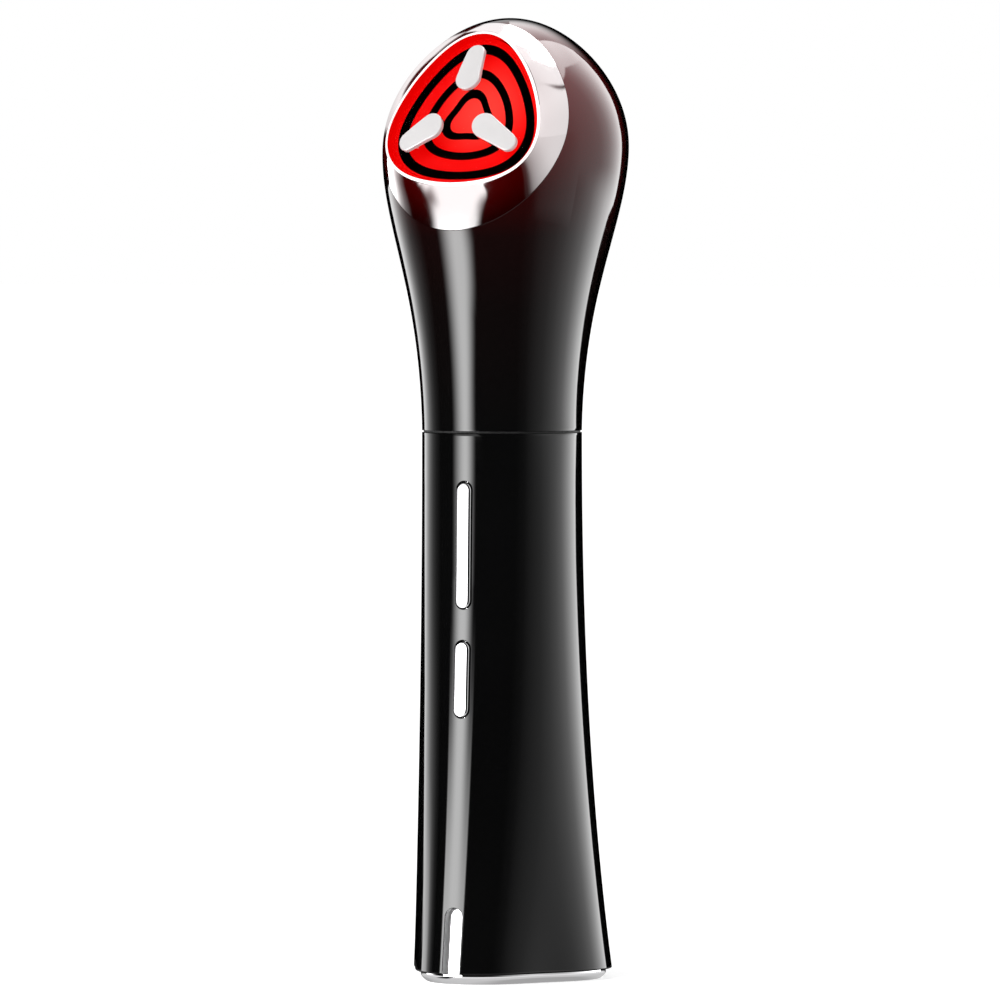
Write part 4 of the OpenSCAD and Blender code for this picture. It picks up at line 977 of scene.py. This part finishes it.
def paint_inside():
    """Finishes of the CAD nodes inside, by the slot that the record gives each of them."""
    made = (
        plain("seal_rubber", ((0.012, 0.012, 0.012), (0.022, 0.022, 0.022)), (0.6, 0.8), 200),
        plain("white_plastic", ((0.78, 0.78, 0.76), (0.86, 0.86, 0.84)), (0.45, 0.6)),
        plain("chip_red", ((0.75, 0.16, 0.1), (0.9, 0.28, 0.2)), (0.2, 0.3), 300, Coat_Weight=0.3),
        plain("contact_gold", ((0.78, 0.58, 0.26), (0.88, 0.7, 0.36)), (0.18, 0.3), 300, Metallic=1.0),
        plain("inner_plastic", ((0.045, 0.046, 0.05), (0.075, 0.076, 0.082)), (0.5, 0.65), 200),
        plain("screw_steel", ((0.55, 0.56, 0.58), (0.7, 0.71, 0.73)), (0.25, 0.4), 400, Metallic=1.0),
        wound("motor_steel", ((0.5, 0.51, 0.53), (0.62, 0.63, 0.65)), 900, 0.34, Metallic=1.0),
        plain("cable_film", ((0.42, 0.17, 0.04), (0.55, 0.25, 0.07)), (0.3, 0.4), 80),
        plain("board_green", ((0.008, 0.09, 0.045), (0.02, 0.17, 0.08)), (0.3, 0.45), 500),
        plain("chip_black", ((0.012, 0.012, 0.014), (0.03, 0.03, 0.034)), (0.5, 0.65), 500),
        wound("coil_copper", ((0.3, 0.11, 0.03), (0.66, 0.32, 0.11)), 1500, 0.35, Metallic=0.8),
        plain("cell_wrap", ((0.02, 0.1, 0.36), (0.03, 0.14, 0.45)), (0.25, 0.35), 60, 0.05),
        plain("switch_plunger", ((0.16, 0.06, 0.025), (0.24, 0.09, 0.04)), (0.4, 0.5), 300),
    )
    by_slot = {finish.slot: finish for finish in made}
    for entry in frame["record"]["subparts"]:
        if entry["material_slot"] in by_slot:
            paint(nodes[entry["node"]], by_slot[entry["material_slot"]])


paint_outside()
paint_inside()

# Camera, with places in metres
VIEW = math.radians(28.0)
TO_CAMERA = np.array([math.sin(VIEW), -math.cos(VIEW), 0.0])
TO_RIGHT = np.array([math.cos(VIEW), math.sin(VIEW), 0.0])
CAMERA_AWAY = 2.03
CAMERA_UP = 0.157
AIM_RIGHT = -0.00042
AIM_UP = 0.09964
SENSOR_MM = 36.0
LENS_MM = 351.0


def look_at(obj, point):
    """Turns a camera or a lamp to a point."""
    obj.rotation_mode = "QUATERNION"
    obj.rotation_quaternion = (Vector(point) - obj.location).to_track_quat("-Z", "Y")


def make_camera():
    """Long lens in front of the object, turned towards +X, a little above the object's middle."""
    camera = linked("camera", bpy.data.cameras.new("camera"))
    camera.data.sensor_width, camera.data.lens = SENSOR_MM, LENS_MM
    camera.data.clip_start, camera.data.clip_end = 0.1, 50.0
    camera.location = TO_CAMERA * CAMERA_AWAY + [0, 0, CAMERA_UP]
    look_at(camera, TO_RIGHT * AIM_RIGHT + [0, 0, AIM_UP])
    return camera


bpy.context.scene.camera = make_camera()

# Light: sheets that show in gloss alone. Their levels are functions of a direction a, in degrees to the
# camera's right, and of a height z in millimetres. Their knots are fitted to the look.
KEY_LEVEL = 11.2
KEY_TOP = 300


def eased(x, low, high):
    """Share of the way from low to high, with soft ends."""
    t = np.clip((x - low) / (high - low), 0, 1)
    return t * t * (3 - 2 * t)


def between(x, low0, low1, high0, high1):
    """1 in the middle, eased down to 0 outside the outer pair."""
    return eased(x, low0, low1) * (1 - eased(x, high0, high1))


def knots(x, *pairs):
    """Value on straight lines through pairs of a place and a value."""
    return np.interp(x, [k for k, _ in pairs], [v for _, v in pairs])


def key_light(a, z):
    """Tall soft box left of the camera, wider low down, which turns faint and wide beside the face."""
    right0 = knots(z, (9, -47), (27, -49), (40, -50), (75, -52), (85, -53))
    right1 = knots(z, (9, -30.5), (21, -32), (27, -33.5), (40, -34), (62, -35.5), (75, -36.5))
    tall = KEY_LEVEL * between(a, -75.5, -53, right0, right1)
    left = knots(z, (110, -70.8), (131, -70.5), (138, -70), (143, -68.9), (148, -67), (156, -65))
    right = knots(z, (112, -29.6), (116, -30.4), (122, -31.8), (128, -33), (140, -34.5))
    faint = 1.08 * between(a, left - 4.5, left + 4.5, right - 3.5, right + 3)
    return (tall * (1 - eased(z, 108, 118)) + faint * eased(z, 107, 112)) * (z < KEY_TOP)


def low_key_light(a, z):
    """The same soft box for the handle: its edges turn hard towards the foot."""
    soft = between(a, -73.5, -55, -51.5, -36)
    hard = between(a, -75.8, -73, -35, -32.2) * (0.8 + 0.2 * between(a, -73, -55, -50, -35))
    share = knots(z, (28, 1.0), (36, 0.85), (43, 0.65), (50, 0.45), (57, 0.28), (66, 0.1), (78, 0.0))
    return KEY_LEVEL * (soft * (1 - share) + hard * share)


def face_side_light(a, z):
    """Small sheet close to the face on its right, which the ring alone mirrors."""
    share = eased(z, 122, 135)
    level = knots(a, (22, 0), (26, 0.06), (31, 0.26), (36, 0.38), (45, 0.56), (52, 0.74), (57, 0.85),
                  (66, 1.15))
    below = knots(a, (18, 0.0), (29, 0.06), (41, 0.23), (52, 0.4), (66, 0.8))
    return level * share + below * (1 - share)


def side_light(a, z):
    """Large sheet on the right that brightens towards the back and ends there in a hard edge."""
    low = knots(a, (20, 0), (32, 0.06), (44, 0.23), (56, 0.4), (68, 0.72), (80, 1.2), (92, 1.9), (104, 3.3),
                (116, 4.6), (128, 5.0))
    high = knots(a, (30, 0), (44, 0.3), (56, 0.72), (62, 0.95), (74, 1.2), (98, 1.43), (110, 2.05),
                 (122, 3.2), (134, 4.4), (148, 4.6))
    up = eased(z, 85, 150)
    edge = knots(z, (84, 127.2), (96, 129.5), (104, 132.5), (112, 135.3), (120, 136.2), (230, 136.5),
                 (300, 141), (420, 148))
    return (low * (1 - up) + high * up) * (a < edge) * (z < 640)


def back_light(a, z):
    """Bright sheet behind on the left, which ends below the face."""
    start = knots(z, (0, -134), (15, -140), (55, -142), (80, -146), (140, -150))
    low = knots(a, (-136, 3.0), (-120, 3.4), (-113, 1.3), (-105, 0.3), (-98, 0))
    mid = knots(a, (-142, 3.2), (-136, 2.8), (-128, 1.9), (-120, 1.0), (-112, 0.5), (-104, 0.15), (-96, 0))
    high = knots(a, (-146, 2.9), (-140, 2.8), (-132, 1.85), (-124, 1.0), (-116, 0.42), (-108, 0.15), (-98, 0))
    share0, share1 = eased(z, 10, 40), eased(z, 45, 80)
    return ((low * (1 - share0) + mid * share0) * (1 - share1) + high * share1) * (a > start) * (z < 146)


def behind_sky(a, z):
    """Overhead sheet behind, fainter towards the right."""
    return 4.0 * eased(z, 320, 520) * knots(a, (148, 0.5), (158, 0.75), (168, 0.95), (180, 1.0)) * (a >= 148)


def right_sky(a, z):
    """Overhead sheet on the right, whose lower edge comes down towards the back."""
    start = knots(a, (90, 620), (112, 620), (128, 500), (140, 425), (148, 435))
    return (5.0 + 2.5 * eased(z, 450, 700)) * eased(z, start - 6, start + 6) * (a > 82) * (a < 148)


def pale_sky(a, z):
    """Overhead sheet in front on the right, with one dark slanting notch."""
    off = np.abs(z - 690 + 25 * (a - 60.5)) / knots(a, (50, 14), (56, 26), (60, 60), (64, 80))
    depth = knots(a, (50, 0.15), (54, 0.35), (57, 0.65), (59.5, 0.97), (67, 1), (72, 0))
    notch = 1 - depth * (1 - eased(off, 0.35, 1))
    level = knots(a, (31, 0), (35, 0.3), (40, 0.4), (46, 0.6), (50, 0.84), (57, 0.9), (65, 0.94), (90, 0.97))
    return level * notch * eased(z, 170, 260) * (0.9 + 0.1 * eased(z, 350, 650)) * (a < 90.5)


def left_sky(a, z):
    """Overhead sheet behind on the left, and a patch below it."""
    patch = 0.95 * between(z, 190, 200, 345, 352) * between(a, -168, -166, -154, -152.5)
    return (z > 350) * (a < -165.5) + patch


def all_round(a, z):
    """The brightest of the sheets on the right, plus those on the left and behind."""
    right = np.maximum.reduce([side_light(a, z), right_sky(a, z), pale_sky(a, z)])
    return key_light(a, z) + back_light(a, z) + right + behind_sky(a, z) + left_sky(a, z)


def table_light(a, r):
    """What the foot's edge mirrors of the table: dim close by, a painted contact shadow, dark behind, with
    one dark wedge.
    """
    # Painted contact shadow: the mirrored table is dim close to the foot.
    pool = knots(r, (19.5, 0.4), (20.5, 0.6), (26, 0.64), (31, 0.85))
    behind = 1 - 0.97 * eased(np.abs(a), 105, 130)
    wedge = 1 - 0.97 * between(a, -56, -52, -40, -35) * eased(r, 24, 26)
    return pool * behind * wedge


def glow_sheet(name, points, levels):
    """Mesh of a grid of points that shows in gloss alone, as bright as its levels, or black."""
    n, m = levels.shape
    i, j = np.meshgrid(np.arange(n - 1), np.arange(m - 1), indexing="ij")
    quads = np.stack([i * m + j, i * m + j + 1, i * m + m + j + 1, i * m + m + j], -1).reshape(-1, 4)
    mesh = bpy.data.meshes.new(name)
    mesh.from_pydata((points.reshape(-1, 3) * MM).tolist(), [], quads.tolist())
    stored = mesh.attributes.new("level", "FLOAT", "POINT")
    stored.data.foreach_set("value", levels.astype(np.float32).ravel())
    material = bpy.data.materials.new(name)
    material.use_nodes = True
    tree = material.node_tree
    tree.nodes.clear()
    level = add_node(tree, "ShaderNodeAttribute", attribute_name="level")
    surface = add_node(tree, "ShaderNodeEmission", {"Strength": level.outputs["Fac"]})
    add_node(tree, "ShaderNodeOutputMaterial", {"Surface": surface.outputs[0]})
    mesh.materials.append(material)
    sheet = linked(name, mesh)
    sheet.visible_camera = sheet.visible_diffuse = sheet.visible_shadow = False
    sheet.visible_transmission = sheet.visible_volume_scatter = False


def towards(a):
    """Level direction so many degrees to the camera's right."""
    t = np.radians(a)[..., None]
    return np.cos(t) * TO_CAMERA + np.sin(t) * TO_RIGHT


def upright(name, light, radius, heights, start, stop, step):
    """Curved sheet round the object, at a row of heights between two directions."""
    a, z = np.meshgrid(np.linspace(start, stop, round((stop - start) / step) + 1), heights)
    glow_sheet(name, towards(a) * radius + z[..., None] * [0, 0, 1], light(a, z))


def make_sheets():
    """One sheet all round, two small ones inside it close by, and one just under the table."""
    heights = np.concatenate([np.arange(-250, 90, 10), np.arange(90, 170, 2), np.arange(170, 1801, 10)])
    upright("round_sheet", all_round, radius=350, heights=heights, start=-180, stop=180, step=0.75)
    upright("low_key", low_key_light, radius=150, heights=np.arange(-60, 85, 4), start=-84, stop=-24,
            step=0.5)
    upright("face_side", face_side_light, radius=100, heights=np.arange(126, 201, 2), start=22, stop=66,
            step=0.5)
    a, r = np.meshgrid(np.linspace(-180, 180, 361), np.linspace(2, 60, 59))
    glow_sheet("table_sheet", towards(a) * r[..., None] + [0, 0, -0.3], table_light(a, r))


def make_world():
    """White studio, full white to the camera, in gloss and through the lens, and dimmer as a light."""
    world = bpy.data.worlds.new("studio")
    world.use_nodes = True
    tree = world.node_tree
    tree.nodes.clear()
    path = tree.nodes.new("ShaderNodeLightPath").outputs
    seen = path["Is Camera Ray"]
    for ray in ("Is Glossy Ray", "Is Transmission Ray"):
        seen = add_node(tree, "ShaderNodeMath", {0: seen, 1: path[ray]}, operation="MAXIMUM").outputs[0]
    level = add_node(tree, "ShaderNodeMapRange", {"Value": seen, "To Min": 0.7, "To Max": 1.0})
    sky = add_node(tree, "ShaderNodeBackground", {
        "Color": (1, 1, 1, 1), "Strength": level.outputs["Result"]})
    add_node(tree, "ShaderNodeOutputWorld", {"Surface": sky.outputs[0]})
    bpy.context.scene.world = world


def make_lamp():
    """Square soft lamp in front on the left, above, that doesn't show in gloss."""
    data = bpy.data.lights.new("front_lamp", "AREA")
    data.shape, data.size, data.energy = "SQUARE", 0.6, 7.0
    lamp = linked("front_lamp", data)
    lamp.location = TO_CAMERA * 0.9 - TO_RIGHT * 0.7 + [0, 0, 0.9]
    look_at(lamp, (0, 0, 0.11))
    lamp.visible_camera = lamp.visible_glossy = False


def make_floor():
    """Matt pale floor, lit up a little to the camera, that doesn't show in gloss."""
    half = 20
    mesh = bpy.data.meshes.new("floor")
    mesh.from_pydata([(-half, -half, 0), (half, -half, 0), (half, half, 0), (-half, half, 0)], [],
                     [(0, 1, 2, 3)])
    floor = linked("floor", mesh)
    floor.visible_glossy = False
    pale = Finish("pale_floor", Base_Color=(0.9, 0.9, 0.9, 1), Roughness=0.9, Specular_IOR_Level=0.0,
                  Emission_Color=(1, 1, 1, 1))
    to_camera = pale.node("ShaderNodeLightPath").outputs["Is Camera Ray"]
    lift = pale.node("ShaderNodeMath", {0: to_camera, 1: 0.5}, operation="MULTIPLY")
    pale.feed(lift.outputs[0], "Emission Strength")
    paint(floor, pale)


make_sheets()
make_world()
make_lamp()
make_floor()
bpy.context.scene.view_settings.view_transform = "Standard"
